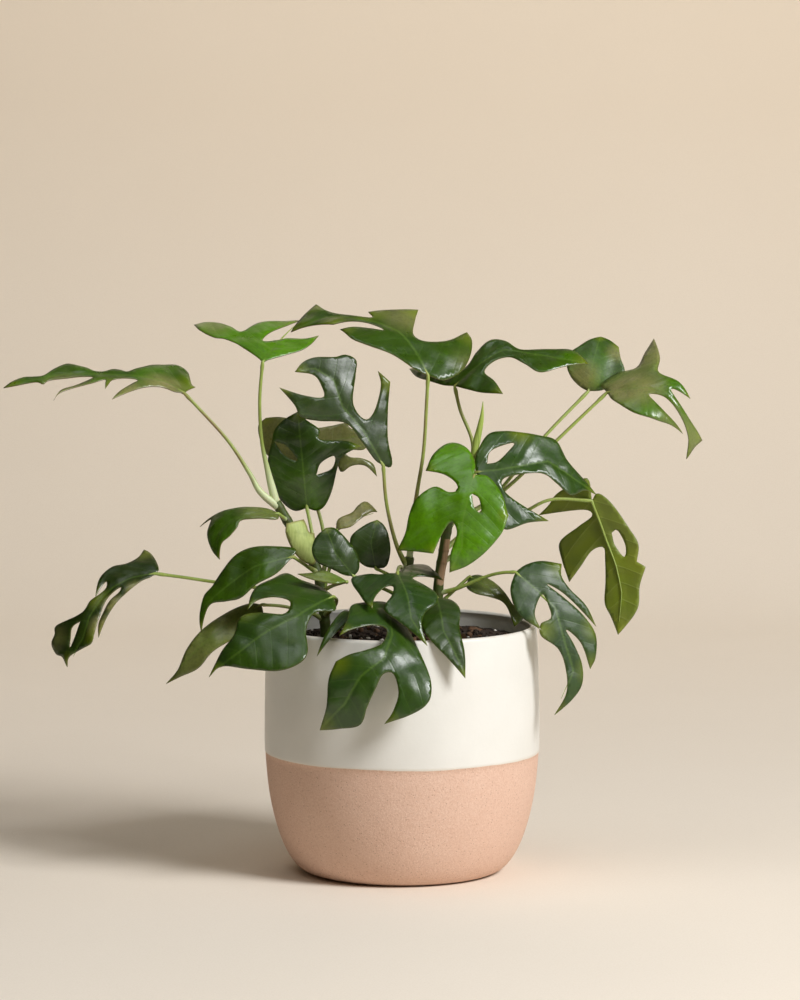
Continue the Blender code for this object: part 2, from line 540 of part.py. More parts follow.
def tube_as_mesh(name, path, radii, collection):
    """The same tube as a closed mesh, which a Boolean can use."""
    source = tube(name + "_curve", path, radii, collection)
    bpy.context.view_layer.update()
    graph = bpy.context.evaluated_depsgraph_get()
    mesh = bpy.data.meshes.new_from_object(source.evaluated_get(graph))
    mesh.name = name
    welded = bmesh.new()
    welded.from_mesh(mesh)
    bmesh.ops.remove_doubles(welded, verts=welded.verts, dist=0.00001)
    bmesh.ops.recalc_face_normals(welded, faces=welded.faces)
    welded.to_mesh(mesh)
    welded.free()
    obj = bpy.data.objects.new(name, mesh)
    obj.matrix_world = source.matrix_world
    collection.objects.link(obj)
    bpy.data.objects.remove(source, do_unlink=True)
    return obj


def vine_path(vine):
    path = smooth_through([on_pot(*point) for point in vine.points], 2)
    path[0].z += CLEARANCE
    return path


def vine_at(vine, height):
    """The vine's axis at a plan height, as a point and a direction. Above its upper end it
    is that end."""
    path = vine_path(vine)
    level = on_pot(0.0, 0.0, height).z
    for low, high in zip(path, path[1:]):
        if low.z <= level <= high.z:
            return low.lerp(high, (level - low.z) / (high.z - low.z)), (high - low).normalized()
    return path[-1], (path[-1] - path[-2]).normalized()


def build_vine(vine, collection):
    material = make_material(vine.name, (0.22, 0.30, 0.08), 0.5)
    path = vine_path(vine)
    taper = VINE_FOOT_FLARE - VINE_TIP_FLARE
    radii = [VINE_RADIUS * (VINE_FOOT_FLARE - taper * i / len(path)) for i in range(len(path))]
    return tube(vine.name, path, radii, collection, material)


# ---------------------------------------------------------------- leaves


class BladeSurface:
    """Where a blade's points lie. u runs from the stalk (0) to the tip (1), v across it,
    to the right as seen from the upper side, both in blade lengths."""

    def __init__(self, leaf):
        self.base = Vector(leaf.base)
        chord = Vector(leaf.tip) - self.base
        self.length = chord.length
        self.along = chord.normalized()
        face = Vector(leaf.face)
        self.up = (face - self.along * face.dot(self.along)).normalized()
        self.side = self.along.cross(self.up)
        self.arch = leaf.arch
        self.fold = math.radians(leaf.fold)
        self.curl = leaf.curl
        self.sweep = leaf.sweep

    def at(self, u, v, lift=0.0):
        """A point on the plan, lifted off the blade by some millimetres."""
        bow = 4 * u * (1 - u)
        slope = 4 * (1 - 2 * u)
        bend = self.up * self.arch + self.side * self.sweep
        middle = self.base + (self.along * u + bend * bow) * self.length
        along = (self.along + bend * slope).normalized()
        up = (self.up - along * self.up.dot(along)).normalized()
        side = along.cross(up)
        across, rise = self.cross_section(abs(v))
        offset = side * math.copysign(across, v) + up * rise
        return middle + offset * self.length + up * lift

    def cross_section(self, reach):
        """How far out and up a point of a half lies, when the half is folded and curled."""
        if abs(self.curl) < 1e-6:
            return reach * math.cos(self.fold), reach * math.sin(self.fold)
        end = self.fold + self.curl * reach
        across = (math.sin(end) - math.sin(self.fold)) / self.curl
        rise = (math.cos(self.fold) - math.cos(end)) / self.curl
        return across, rise


def closed_loop(start, points):
    """A closed loop in (u, v) from a start and the points it passes. It is smooth but for
    its tips and its start. An outline starts where the stalk joins, and runs round the
    right side to the tip and back."""
    knots = [tip(*start)] + [p if len(p) == 3 else (*p, False) for p in points]
    knots.append(knots[0])
    corners = [i for i, knot in enumerate(knots) if knot[2]]
    outline = []
    for first, last in zip(corners, corners[1:]):
        span = [Vector(knot[:2]) for knot in knots[first : last + 1]]
        fine = smooth_through(span, 6)
        outline += evenly(fine, OUTLINE_STEP)[:-1]
    return outline


def evenly(path, step):
    """The path resampled at equal spacing, about a step apart, with its ends kept."""
    lengths = [0.0]
    for a, b in zip(path, path[1:]):
        lengths.append(lengths[-1] + (b - a).length)
    pieces = max(1, round(lengths[-1] / step))
    result = []
    index = 0
    for i in range(pieces):
        target = lengths[-1] * i / pieces
        while lengths[index + 1] < target:
            index += 1
        share = (target - lengths[index]) / max(lengths[index + 1] - lengths[index], 1e-9)
        result.append(path[index].lerp(path[index + 1], share))
    return result + [path[-1]]


def inside(point, outline):
    """Whether a point is inside a closed outline, by counting the edges to its right."""
    crossed = False
    for a, b in zip(outline, outline[1:] + outline[:1]):
        if (a.y > point.y) != (b.y > point.y):
            if point.x < a.x + (point.y - a.y) / (b.y - a.y) * (b.x - a.x):
                crossed = not crossed
    return crossed


def far_from(point, outline, margin):
    return all((point - other).length > margin for other in outline)


def clear_of(point, windows):
    return not any(inside(point, w) or not far_from(point, w, EDGE_MARGIN) for w in windows)


def grid_inside(outline, spacing):
    """Points over the blade that let it bend: a row along the midrib and rows beside it."""
    rows = range(-int(1.3 / spacing), int(1.3 / spacing) + 1)
    columns = range(-int(0.5 / spacing), int(1.2 / spacing) + 1)
    points = [Vector((column * spacing, row * spacing)) for row in rows for column in columns]
    return [p for p in points if inside(p, outline) and far_from(p, outline, EDGE_MARGIN)]


def ring_edges(first, count):
    return [(first + i, first + (i + 1) % count) for i in range(count)]


def blade_mesh(leaf):
    """The blade's middle surface as triangles inside its outline and outside its windows."""
    outline = closed_loop((0.0, 0.0), leaf.outline)
    windows = [closed_loop(window[0], window[1:]) for window in leaf.windows]
    points = list(outline)
    edges = ring_edges(0, len(outline))
    for window in windows:
        edges += ring_edges(len(points), len(window))
        points += window
    points += [p for p in grid_inside(outline, BLADE_GRID) if clear_of(p, windows)]
    flat, _, faces, _, _, _ = delaunay_2d_cdt(points, edges, [], 0, 1e-6)
    surface = BladeSurface(leaf)
    places = [on_pot(*surface.at(point.x, point.y)) for point in flat]
    kept = []
    for face in faces:
        centre = sum((flat[i] for i in face), Vector((0.0, 0.0))) / len(face)
        if inside(centre, outline) and not any(inside(centre, w) for w in windows):
            kept.append(tuple(face))
    mesh = bpy.data.meshes.new(leaf.name)
    mesh.from_pydata(places, [], kept)
    tidy = bmesh.new()
    tidy.from_mesh(mesh)
    loose = [vert for vert in tidy.verts if not vert.link_faces]
    bmesh.ops.delete(tidy, geom=loose, context="VERTS")
    bmesh.ops.recalc_face_normals(tidy, faces=tidy.faces)
    tidy.to_mesh(mesh)
    tidy.free()
    return mesh


def build_blade(leaf, material, collection):
    obj = link_mesh(leaf.name, blade_mesh(leaf), material, collection)
    solidify = obj.modifiers.new("Thickness", "SOLIDIFY")
    solidify.thickness = BLADE_THICKNESS
    solidify.offset = 0.0
    return obj


def stalk_path(leaf):
    """From just off the vine, through the stalk's bends, to under the blade's midrib."""
    surface = BladeSurface(leaf)
    bends = [on_pot(*point) for point in leaf.stalk]
    top = [on_pot(*surface.at(0.0, 0.0, -0.3)), on_pot(*surface.at(MIDRIB_ANCHOR, 0.0, -0.5))]
    root, axis = vine_at(leaf.vine, leaf.height)
    away = ((bends + top)[0] - root).normalized()
    if leaf.height > leaf.vine.points[-1][2]:
        outward = axis
        reach = CLEARANCE
    else:
        outward = (away - axis * away.dot(axis)).normalized()
        reach = CLEARANCE + VINE_RADIUS * VINE_FOOT_FLARE
    tilt = math.sqrt(max(0.0, 1 - away.dot(outward) ** 2))
    start = root + outward * (reach + STALK_ROOT_RADIUS * tilt)
    return smooth_through([start] + bends + top, 2)


def build_leaf(leaf, collection, cutters):
    """The blade and its stalk, joined into one piece."""
    material = make_material(leaf.name, (0.05, 0.17, 0.03), 0.35)
    obj = build_blade(leaf, material, collection)
    path = stalk_path(leaf)
    share = [i / (len(path) - 1) for i in range(len(path))]
    radii = [STALK_ROOT_RADIUS + (STALK_TOP_RADIUS - STALK_ROOT_RADIUS) * s for s in share]
    stalk = tube_as_mesh(leaf.name + "_stalk", path, radii, cutters)
    stalk.hide_render = True
    stalk.display_type = "WIRE"
    joint = obj.modifiers.new("Stalk", "BOOLEAN")
    joint.operation = "UNION"
    joint.solver = "EXACT"
    joint.object = stalk
    return obj


def build_bract(collection):
    """The bract, moved so that its base stays just off the vine's skin."""
    material = make_material("bract", (0.42, 0.48, 0.18), 0.6)
    bract = build_blade(BRACT, material, collection)
    root, axis = vine_at(BRACT.vine, BRACT.height)
    away = on_pot(*BRACT.base) - root
    away -= axis * away.dot(axis)
    bract.location = away.normalized() * (VINE_RADIUS + BRACT_STANDOFF - away.length)
    return bract


def build_spear(collection):
    material = make_material("spear", (0.50, 0.60, 0.20), 0.4)
    path = smooth_through([on_pot(*point) for point in SPEAR], 2)
    radii = []
    for low, high in zip(SPEAR_RADII, SPEAR_RADII[1:]):
        radii += [low, (low + high) / 2]
    return tube("leaf_spear", path, radii + [SPEAR_RADII[-1]], collection, material)


def main():
    clear_scene()
    parts = new_collection("potted_monstera")
    cutters = new_collection("cutters")
    cutters.hide_render = True
    build_pot(parts)
    build_soil(parts)
    for vine in (LEFT, CENTRE, RIGHT):
        build_vine(vine, parts)
    for leaf in LEAVES:
        build_leaf(leaf, parts, cutters)
    build_bract(parts)
    build_spear(parts)


main()
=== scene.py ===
import math
import random
from collections import namedtuple

import bmesh
import bpy
import numpy as np
from mathutils import Matrix, Vector, noise
from mathutils.geometry import delaunay_2d_cdt


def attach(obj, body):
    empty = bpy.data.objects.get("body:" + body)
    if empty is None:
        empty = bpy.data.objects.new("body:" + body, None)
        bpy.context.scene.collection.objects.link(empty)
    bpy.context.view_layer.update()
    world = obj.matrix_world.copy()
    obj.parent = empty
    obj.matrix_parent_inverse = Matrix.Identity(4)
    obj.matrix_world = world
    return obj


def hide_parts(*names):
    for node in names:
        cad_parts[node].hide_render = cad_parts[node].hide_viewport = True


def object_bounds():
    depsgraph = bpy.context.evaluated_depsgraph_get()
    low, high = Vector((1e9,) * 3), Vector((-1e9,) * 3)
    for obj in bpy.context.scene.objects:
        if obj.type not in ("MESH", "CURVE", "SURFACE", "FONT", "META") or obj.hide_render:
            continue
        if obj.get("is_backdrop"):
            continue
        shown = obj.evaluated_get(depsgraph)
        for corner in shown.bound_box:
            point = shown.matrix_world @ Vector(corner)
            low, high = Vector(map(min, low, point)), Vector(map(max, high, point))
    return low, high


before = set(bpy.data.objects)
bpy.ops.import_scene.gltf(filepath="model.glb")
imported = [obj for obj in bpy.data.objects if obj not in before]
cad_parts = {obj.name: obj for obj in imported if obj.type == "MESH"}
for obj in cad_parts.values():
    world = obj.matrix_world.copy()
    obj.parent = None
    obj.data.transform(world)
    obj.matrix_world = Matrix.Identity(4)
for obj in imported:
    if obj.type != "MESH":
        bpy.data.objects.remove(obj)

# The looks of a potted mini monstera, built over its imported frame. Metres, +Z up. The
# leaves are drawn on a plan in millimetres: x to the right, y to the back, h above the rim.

cad_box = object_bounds()

MM = 0.001

# The pot and its soil in metres. CRUMB_ and PLAN_ sizes are in the plan's millimetres.
POT_HEIGHT = 0.162
RIM_RADIUS = 0.088
BELLY_SWELL = 0.002
BELLY_HEIGHT = 0.090
FOOT_RADIUS = 0.060
POT_WALL = 0.0045
POT_FLOOR = 0.009
POT_STEPS = 192
FOOT_FLAT = 0.0018
FOOT_ROUNDING = 0.0012
FOOT_ROUNDED_TO = 0.0035
INNER_BEND = 0.03
INNER_RISE = 0.015
SOIL_HEIGHT = 0.151
SOIL_RADIUS = 0.0838
SOIL_STEPS = 150
CRUMB_RADIUS = 81
CRUMB_LIMIT = 82.5
PLAN_SOIL = -11.0

GLAZE_LINE = 0.0793
GLAZE_THICKNESS = 0.0003
GLAZE_EDGE = 0.0004

# Blades and vines, in the plan's millimetres but for the thickness, which is in metres.
BLADE_THICKNESS = 0.0005
BLADE_CELL = 2.2
SIDE_VEINS = 8
VEIN_SLANT = 0.5
VEIN_CURVE = 0.45
VINE_RADIUS = 3.3
NODE_SWELL = 0.25
NODE_WIDTH = 1.1
DRY_SHEATH = (26, 60)
NO_SHEATH = (0, 0)

# A blade's relief, in millimetres: the groove over the midrib, the puffs between the side
# veins and the waves towards the margin.
GROOVE_DEPTH = 0.5
GROOVE_WIDTH = 1.6
PUFF_HEIGHT = 0.26
WAVE_HEIGHT = 1.6

# The stalks and the midribs under the blades, in millimetres.
STALK_RADIUS = 1.25
STALK_TAPER = 0.15
STALK_KNEE = 0.28
STOUT_ROOT = 2.5
RIB_RADIUS = 0.95
RIB_TAPER = 0.8
RIB_LIFT = -1.15

# The span that a noise texture's values mostly keep to, and its roughness.
NOISE_RANGE = (0.3, 0.7)
NOISE_ROUGHNESS = 0.55

# How much light a blade lets into its skin.
LEAF_GLOW = {
    "Subsurface_Weight": 0.22, "Subsurface_Scale": 0.0012, "Subsurface_Radius": (0.7, 1.0, 0.12),
}

# Each light's place, target, size, power and colour.
LIGHTS = {
    "key": ((1.55, -1.35, 1.65), (0, 0, 0.15), (0.8, 0.8), 68, (0.985, 0.985, 1.0)),
    "top": ((-0.3, -0.3, 1.5), (0, 0, 0.2), (0.8, 0.6), 3.4, (0.96, 0.98, 1.0)),
    "front": ((-0.5, -1.3, 1.75), (0, 0, 0.2), (0.6, 0.45), 1.6, (1.0, 0.93, 0.82)),
    "wall": ((0.2, 0.85, 1.5), (0, 1.9, 1.0), (2.4, 0.5), 10, (1.0, 0.955, 0.9)),
}
WORLD_COLOUR = (1.0, 0.80, 0.56, 1.0)
WORLD_STRENGTH = 0.03

# The backdrop: its sides, its front edge, the start and radius of its curve, its top, and
# how far it lies below the pot's foot.
SWEEP_SIDES = (-1.8, 2.4)
SWEEP_FRONT = -3.2
SWEEP_CURVE = 1.2
SWEEP_RADIUS = 0.7
SWEEP_TOP = 4.2
SWEEP_DROP = 0.0002

CAMERA_PLACE = (-0.0013, -2.65, 0.501)
CAMERA_TILT = 5.56
CAMERA_SENSOR = 36.0
CAMERA_LENS = 147.3

Leaf = namedtuple(
    "Leaf", "name vine height stalk base tip face arch fold curl sweep outline windows",
    defaults=[()],
)
Vine = namedtuple("Vine", "name points")


def tip(u, v):
    """A sharp point of an outline; all its other points are passed in a smooth curve."""
    return (u, v, True)


# The three vines, from the soil up.
LEFT = Vine("vine_left", [
    (-50, -8, PLAN_SOIL), (-50, -8, 0), (-52, -7, 18), (-55, -4, 35), (-60, -3, 44), (-66, -2, 53),
    (-76, -2, 70), (-82, -2, 80),
])
CENTRE = Vine("vine_centre", [
    (0, 0, PLAN_SOIL), (0, 0, 0), (1, 0, 14), (3, -1, 30), (5, -2, 44),
])
RIGHT = Vine("vine_right", [
    (22, -18, PLAN_SOIL), (22, -18, 0), (23, -18, 16), (24, -18, 31), (27, -18, 50), (30, -18, 68),
    (36, -20, 84), (41, -24, 94),
])

# Each leaf: the vine and the height it leaves it at, its stalk's bends, where the blade
# begins and ends, which way its upper side looks, how far its midrib bows up, how its
# halves fold (degrees) and curl, how far it sweeps sideways, and its outline.
LEAVES = [
    Leaf(
        "leaf_left_1", LEFT, 76, [(-92, -5, 87), (-99, -4, 99), (-113, -2, 120), (-131, -1, 140)],
        (-141, 0, 151), (-258, -8, 155), (0, -0.5, 0.87), 0.08, 0, -0.4, 0,
        [
            (-0.01, 0.02), (-0.03, 0.05), tip(-0.06, 0.09), (-0.04, 0.1), (-0.03, 0.16),
            (-0.02, 0.22), (0.01, 0.26), (0.05, 0.27), (0.11, 0.24), (0.18, 0.21), (0.23, 0.17),
            (0.28, 0.13), (0.32, 0.09), (0.36, 0.1), (0.4, 0.1), (0.45, 0.07), (0.5, 0.07),
            (0.54, 0.1), (0.58, 0.12), (0.62, 0.14), (0.66, 0.15), (0.72, 0.11), (0.78, 0.05),
            (0.84, 0.05), (0.89, 0.06), (0.95, 0.04), tip(1.0, 0.0), (0.93, -0.01), (0.82, -0.01),
            (0.78, -0.04), (0.75, -0.01), (0.65, 0.0), (0.58, 0.01), (0.51, 0.01), (0.52, -0.01),
            (0.6, -0.07), (0.68, -0.11), tip(0.72, -0.2), (0.69, -0.14), (0.62, -0.1),
            (0.51, -0.05), (0.44, -0.01), (0.44, -0.04), tip(0.44, -0.1), (0.42, -0.05),
            (0.4, -0.01), (0.33, 0.02), (0.26, 0.02), (0.29, -0.02), (0.36, -0.11), tip(0.4, -0.19),
            (0.3, -0.1), (0.22, -0.04), (0.15, -0.01), (0.1, -0.01), (0.05, -0.02),
        ],
    ),
    Leaf(
        "leaf_left_2", LEFT, 200, [(-87, -3, 100), (-91, -6, 121), (-92, -9, 147)],
        (-90, -12, 172), (-67, 42, 196), (0, -0.5, 0.86), 0.04, 0, -0.3, 0,
        [
            (0.09, 0.08), (0.21, 0.18), (0.35, 0.28), (0.51, 0.33), tip(0.73, 0.32), (0.58, 0.24),
            (0.50, 0.06), (0.37, -0.08), (0.37, -0.16), (0.54, -0.15), (0.79, -0.05), tip(1.0, 0.0),
            (0.88, -0.11), (0.76, -0.34), (0.50, -0.44), (0.59, -0.62), (0.72, -0.93),
            tip(0.67, -1.07), (0.48, -0.93), (0.34, -0.70), (0.31, -0.54), (0.12, -0.20),
        ],
    ),
    Leaf(
        "leaf_left_3", LEFT, 68, [], (-80, -14, 74), (-118, -26, 45), (-0.2, -0.7, 0.7),
        0.16, -5, -0.4, 0,
        [
            (0.06, 0.16), (0.20, 0.32), (0.34, 0.46), (0.52, 0.59), (0.72, 0.69), tip(0.94, 0.76),
            (0.84, 0.71), (0.74, 0.64), (0.91, 0.50), (0.99, 0.23), tip(1.0, 0.0), (0.85, 0.13),
            (0.71, 0.10), (0.56, 0.12), (0.45, 0.18), (0.30, 0.06), (0.08, -0.10),
        ],
    ),
    Leaf(
        "leaf_left_4", LEFT, 40, [(-58, 2, 55)], (-62, 7, 75), (-68, 10, 138), (0, -0.95, 0.3),
        0.08, -8, -0.3, 0,
        [
            (-0.04, 0.10), (0.0, 0.19), (0.15, 0.28), (0.38, 0.36), (0.50, 0.43), tip(0.59, 0.63),
            (0.66, 0.48), (0.70, 0.20), (0.80, 0.21), (0.91, 0.08), tip(1.0, 0.0), (0.93, -0.16),
            (0.84, -0.26), (0.72, -0.30), (0.52, -0.36), (0.30, -0.33), (0.10, -0.27),
            (-0.02, -0.14),
        ],
        [
            [(0.33, 0.13), (0.45, 0.19), (0.51, 0.34), (0.38, 0.30)],
            [(0.72, -0.27), (0.66, -0.15), (0.50, -0.05), (0.57, -0.18)],
        ],
    ),
    Leaf(
        "leaf_left_5", LEFT, 34, [(-61, -14, 39)], (-70, -34, 48), (-130, -30, -2),
        (-0.2, -0.8, 0.6), 0.10, -6, -0.3, 0,
        [
            (-0.05, 0.06), (0.06, 0.18), (0.22, 0.31), (0.38, 0.35), (0.56, 0.30), (0.70, 0.25),
            (0.81, 0.24), (0.93, 0.13), tip(1.0, 0.0), (0.90, 0.08), (0.79, 0.12), (0.66, 0.02),
            (0.54, -0.05), (0.37, -0.04), (0.18, -0.06),
        ],
    ),
    Leaf(
        "leaf_left_6", LEFT, 27, [(-50, 6, 42), (-53, 14, 66)], (-65, 22, 100), (-20, 24, 120),
        (0.2, -0.9, 0.3), 0.05, 0, -0.3, 0,
        [
            (0.12, -0.03), (0.25, -0.07), (0.41, -0.03), (0.49, 0.05), (0.44, 0.17), (0.45, 0.27),
            (0.61, 0.25), (0.77, 0.32), tip(0.86, 0.51), (0.88, 0.34), (0.77, 0.21), (0.63, 0.13),
            (0.6, 0.04), (0.67, 0.04), (0.82, 0.11), (0.9, 0.09), tip(1.0, 0.01), (0.94, -0.07),
            (0.79, -0.23), (0.78, -0.31), (0.56, -0.36), (0.33, -0.44), (0.15, -0.64),
            (-0.02, -0.77), tip(-0.21, -0.85), (-0.36, -0.78), (-0.39, -0.42), (-0.21, -0.13),
            (-0.11, -0.02),
        ],
    ),
    Leaf(
        "leaf_left_7", LEFT, 18, [(-47, -5, 38), (-45, -6, 50)], (-43, -4, 62), (-16, 6, 73),
        (0, -0.8, 0.6), 0.1, 0, -0.2, 0,
        [
            (0.28, 0.12), (0.56, 0.05), (0.85, -0.02), tip(1.0, 0.0), (0.90, -0.30), (0.68, -0.28),
            (0.47, -0.17), (0.15, -0.18),
        ],
    ),
    Leaf(
        "leaf_left_8", LEFT, 12, [(-67, 2, 20), (-93, 4, 23), (-123, 4, 27), (-142, 3, 30)],
        (-161, 2, 33), (-218, -12, -27), (-0.3, -0.8, 0.5), 0.12, -5, -0.3, 0,
        [
            (-0.04, 0.01), (-0.07, 0.07), (-0.1, 0.16), (-0.11, 0.23), tip(-0.1, 0.28),
            (-0.02, 0.24), (0.08, 0.25), (0.17, 0.31), (0.28, 0.31), (0.36, 0.27), tip(0.45, 0.19),
            (0.36, 0.22), (0.3, 0.23), (0.34, 0.18), (0.42, 0.18), (0.5, 0.2), (0.59, 0.18),
            (0.67, 0.21), (0.73, 0.25), (0.84, 0.32), (0.89, 0.28), (0.96, 0.26), (0.99, 0.16),
            (0.97, 0.09), tip(1.0, 0.0), (0.93, 0.03), (0.82, -0.03), (0.74, -0.07), (0.67, -0.04),
            (0.57, 0.01), (0.48, 0.06), (0.41, 0.09), (0.34, 0.1), (0.26, 0.09), (0.3, 0.06),
            (0.4, 0.06), (0.51, 0.02), (0.6, -0.02), tip(0.67, -0.09), (0.54, -0.04), (0.39, 0.0),
            (0.26, 0.01), (0.12, 0.01), (0.05, -0.01),
        ],
        [[(0.67, 0.14), (0.75, 0.17), (0.82, 0.12), (0.88, 0.07), (0.79, 0.09)]],
    ),
    Leaf(
        "leaf_left_9", LEFT, 2, [(-58, -11, 8), (-76, -14, 13)], (-91, -18, 15), (-153, -26, -36),
        (-0.2, -0.75, 0.6), 0.10, -6, -0.3, 0,
        [
            (0.08, 0.07), (0.25, 0.11), (0.49, 0.12), (0.68, 0.08), (0.85, 0.0), tip(1.0, 0.0),
            (0.88, -0.06), (0.72, -0.13), (0.55, -0.11), (0.38, -0.13), (0.20, -0.16),
            (0.05, -0.10),
        ],
    ),
    Leaf(
        "leaf_left_10", LEFT, 6, [(-44, -24, 14), (-42, -38, 20)], (-44, -48, 24), (-123, -72, -25),
        (-0.15, -0.7, 0.7), 0.14, -6, -0.3, 0,
        [
            (0.02, 0.13), (0.08, 0.26), (0.12, 0.38), (0.24, 0.37), (0.36, 0.37), (0.45, 0.31),
            tip(0.53, 0.21), (0.43, 0.24), (0.32, 0.18), (0.27, 0.08), (0.36, 0.0), (0.48, 0.12),
            (0.60, 0.19), (0.71, 0.10), (0.83, 0.07), (0.92, 0.03), tip(1.0, 0.0), (0.90, -0.02),
            (0.78, -0.18), (0.64, -0.33), (0.50, -0.38), (0.39, -0.34), (0.30, -0.18),
            (0.18, -0.09), (0.05, -0.12),
        ],
    ),
    Leaf(
        "leaf_left_11", LEFT, 22, [(-45, -18, 27), (-38, -34, 31)], (-35, -44, 33), (-67, -44, 38),
        (0, -0.6, 0.8), 0.05, 0, -0.2, 0,
        [
            (0.15, 0.06), (0.36, 0.12), (0.51, 0.14), (0.74, 0.04), tip(1.0, 0.0), (0.78, -0.12),
            (0.50, -0.17), (0.20, -0.16),
        ],
    ),
    Leaf(
        "leaf_centre_1", CENTRE, 200, [(7, -4, 66), (10, -6, 88), (14, -8, 114), (16, -10, 147)],
        (17, -12, 163), (-73, 30, 189), (0.1, -0.55, 0.83), 0.16, 0, -0.3, 0.12,
        [
            (-0.05, 0.08), (-0.04, 0.22), (0.01, 0.34), (0.08, 0.44), tip(0.13, 0.46),
            (0.13, 0.28), (0.18, 0.14), (0.25, 0.12), (0.32, 0.24), tip(0.36, 0.34), (0.44, 0.24),
            tip(0.56, 0.12), (0.51, 0.07), (0.60, 0.05), (0.73, 0.07), (0.82, 0.14),
            tip(0.89, 0.25), (0.95, 0.12), tip(1.0, 0.0), (0.88, -0.02), tip(0.72, -0.06),
            (0.62, -0.02), (0.50, 0.0), (0.38, 0.0), (0.48, -0.05), (0.58, -0.08),
            tip(0.65, -0.12), (0.50, -0.20), (0.35, -0.19), (0.20, -0.12), (0.06, -0.06),
        ],
    ),
    Leaf(
        "leaf_centre_2", CENTRE, 36, [(-4, -9, 54), (-10, -14, 80)], (-12, -16, 105),
        (-69, -22, 166), (0.1, -1, 0.2), 0.03, -6, -0.2, 0,
        [
            (-0.05, 0.03), (-0.02, 0.08), (0.12, 0.17), (0.28, 0.33), tip(0.42, 0.50),
            tip(0.55, 0.49), (0.45, 0.42), (0.35, 0.24), (0.36, 0.14), (0.51, 0.16), (0.65, 0.33),
            (0.73, 0.42), (0.82, 0.39), (0.87, 0.31), (0.97, 0.20), (1.01, 0.10), tip(1.0, 0.0),
            (0.88, 0.09), (0.77, 0.07), (0.71, 0.02), (0.83, -0.08), tip(1.0, -0.17),
            (0.82, -0.18), (0.72, -0.21), (0.60, -0.13), (0.44, 0.01), (0.25, 0.0), (0.08, -0.02),
        ],
    ),
    Leaf(
        "leaf_centre_3", CENTRE, 22, [(0, -18, 38), (-2, -36, 41)], (-3, -50, 39), (16, -95, -2),
        (0.05, -0.6, 0.8), 0.12, -5, -0.3, 0,
        [
            (-0.08, 0.14), (-0.20, 0.24), (-0.24, 0.40), (-0.06, 0.46), (0.14, 0.46),
            (0.32, 0.45), tip(0.45, 0.41), (0.30, 0.34), (0.19, 0.20), (0.22, 0.12), (0.36, 0.18),
            (0.50, 0.31), (0.68, 0.22), (0.84, 0.11), tip(1.0, 0.0), (0.79, 0.0), (0.65, -0.09),
            (0.56, -0.23), (0.43, -0.27), (0.28, -0.20), (0.14, -0.11), (0.11, -0.22),
            (0.14, -0.34), tip(0.19, -0.42), (0.0, -0.39), (-0.16, -0.36), (-0.20, -0.24),
            (-0.12, -0.12),
        ],
    ),
    Leaf(
        "leaf_centre_4", CENTRE, 26, [(-7, -14, 33)], (-17, -24, 39), (-16, -17, 70),
        (0.1, -0.8, 0.6), 0.08, -6, -0.3, 0,
        [
            (0.05, 0.22), (0.37, 0.29), (0.68, 0.24), (0.89, 0.14), tip(1.0, 0.0), (0.88, -0.26),
            (0.66, -0.52), (0.40, -0.54), (0.18, -0.42), (0.03, -0.22),
        ],
    ),
    Leaf(
        "leaf_centre_5", CENTRE, 16, [(-10, -16, 24), (-22, -27, 30)], (-31, -34, 35),
        (-49, -30, 66), (0, -0.8, 0.6), 0.08, -6, -0.3, 0,
        [
            (0.07, 0.16), (0.27, 0.25), (0.50, 0.24), (0.78, 0.19), (0.93, 0.13), tip(1.0, 0.0),
            (0.95, -0.25), (0.78, -0.44), (0.54, -0.47), (0.30, -0.30), (0.10, -0.15),
        ],
    ),
    Leaf(
        "leaf_centre_6", CENTRE, 6, [(-2, -20, 14), (-5, -50, 20)], (-8, -66, 19), (-52, -100, -55),
        (-0.1, -0.9, 0.4), 0.26, -5, -0.3, 0,
        [
            (-0.03, 0.06), (0.05, 0.17), (0.12, 0.22), (0.26, 0.17), tip(0.40, 0.15), (0.32, 0.10),
            (0.21, -0.01), (0.19, -0.10), (0.31, -0.13), (0.42, -0.06), (0.50, 0.02),
            tip(0.58, 0.08), (0.71, 0.07), (0.86, 0.01), tip(1.0, 0.0), (0.95, -0.12),
            (0.88, -0.25), (0.76, -0.25), (0.62, -0.25), (0.51, -0.25), (0.47, -0.31),
            (0.58, -0.40), (0.72, -0.42), tip(0.82, -0.40), (0.70, -0.53), (0.58, -0.60),
            (0.46, -0.60), (0.32, -0.52), (0.16, -0.32), (0.04, -0.13),
        ],
    ),
    Leaf(
        "leaf_centre_7", CENTRE, 2, [(-12, -24, 8), (-24, -48, 15)], (-32, -60, 15), (-54, -84, -10),
        (-0.2, -0.7, 0.7), 0.12, 0, -0.2, 0,
        [
            (0.03, 0.12), (0.37, 0.09), (0.70, 0.05), tip(1.0, 0.0), (0.75, -0.05), (0.45, -0.10),
            (0.12, -0.11),
        ],
    ),
    Leaf(
        "leaf_right_1", RIGHT, 88, [(44, -32, 97)], (47, -40, 103), (126, -14, 86),
        (0.1, -0.85, 0.5), 0.12, -4, -0.3, 0,
        [
            (0.06, 0.11), (0.10, 0.24), (0.16, 0.38), (0.23, 0.45), (0.40, 0.38), tip(0.57, 0.34),
            (0.37, 0.26), (0.22, 0.16), (0.19, 0.06), (0.30, 0.01), (0.50, -0.03), (0.62, 0.03),
            (0.75, 0.09), (0.88, 0.01), tip(1.0, 0.0), (0.82, -0.12), (0.72, -0.21), (0.64, -0.36),
            (0.49, -0.37), tip(0.33, -0.37), (0.20, -0.37), (0.08, -0.33), (0.0, -0.14),
        ],
        [[(0.08, -0.07), (0.11, -0.19), (0.28, -0.27), (0.22, -0.17), (0.15, -0.09)]],
    ),
    Leaf(
        "leaf_right_2", RIGHT, 80, [(39, -33, 88), (43, -42, 96)], (46, -48, 102), (30, -66, 41),
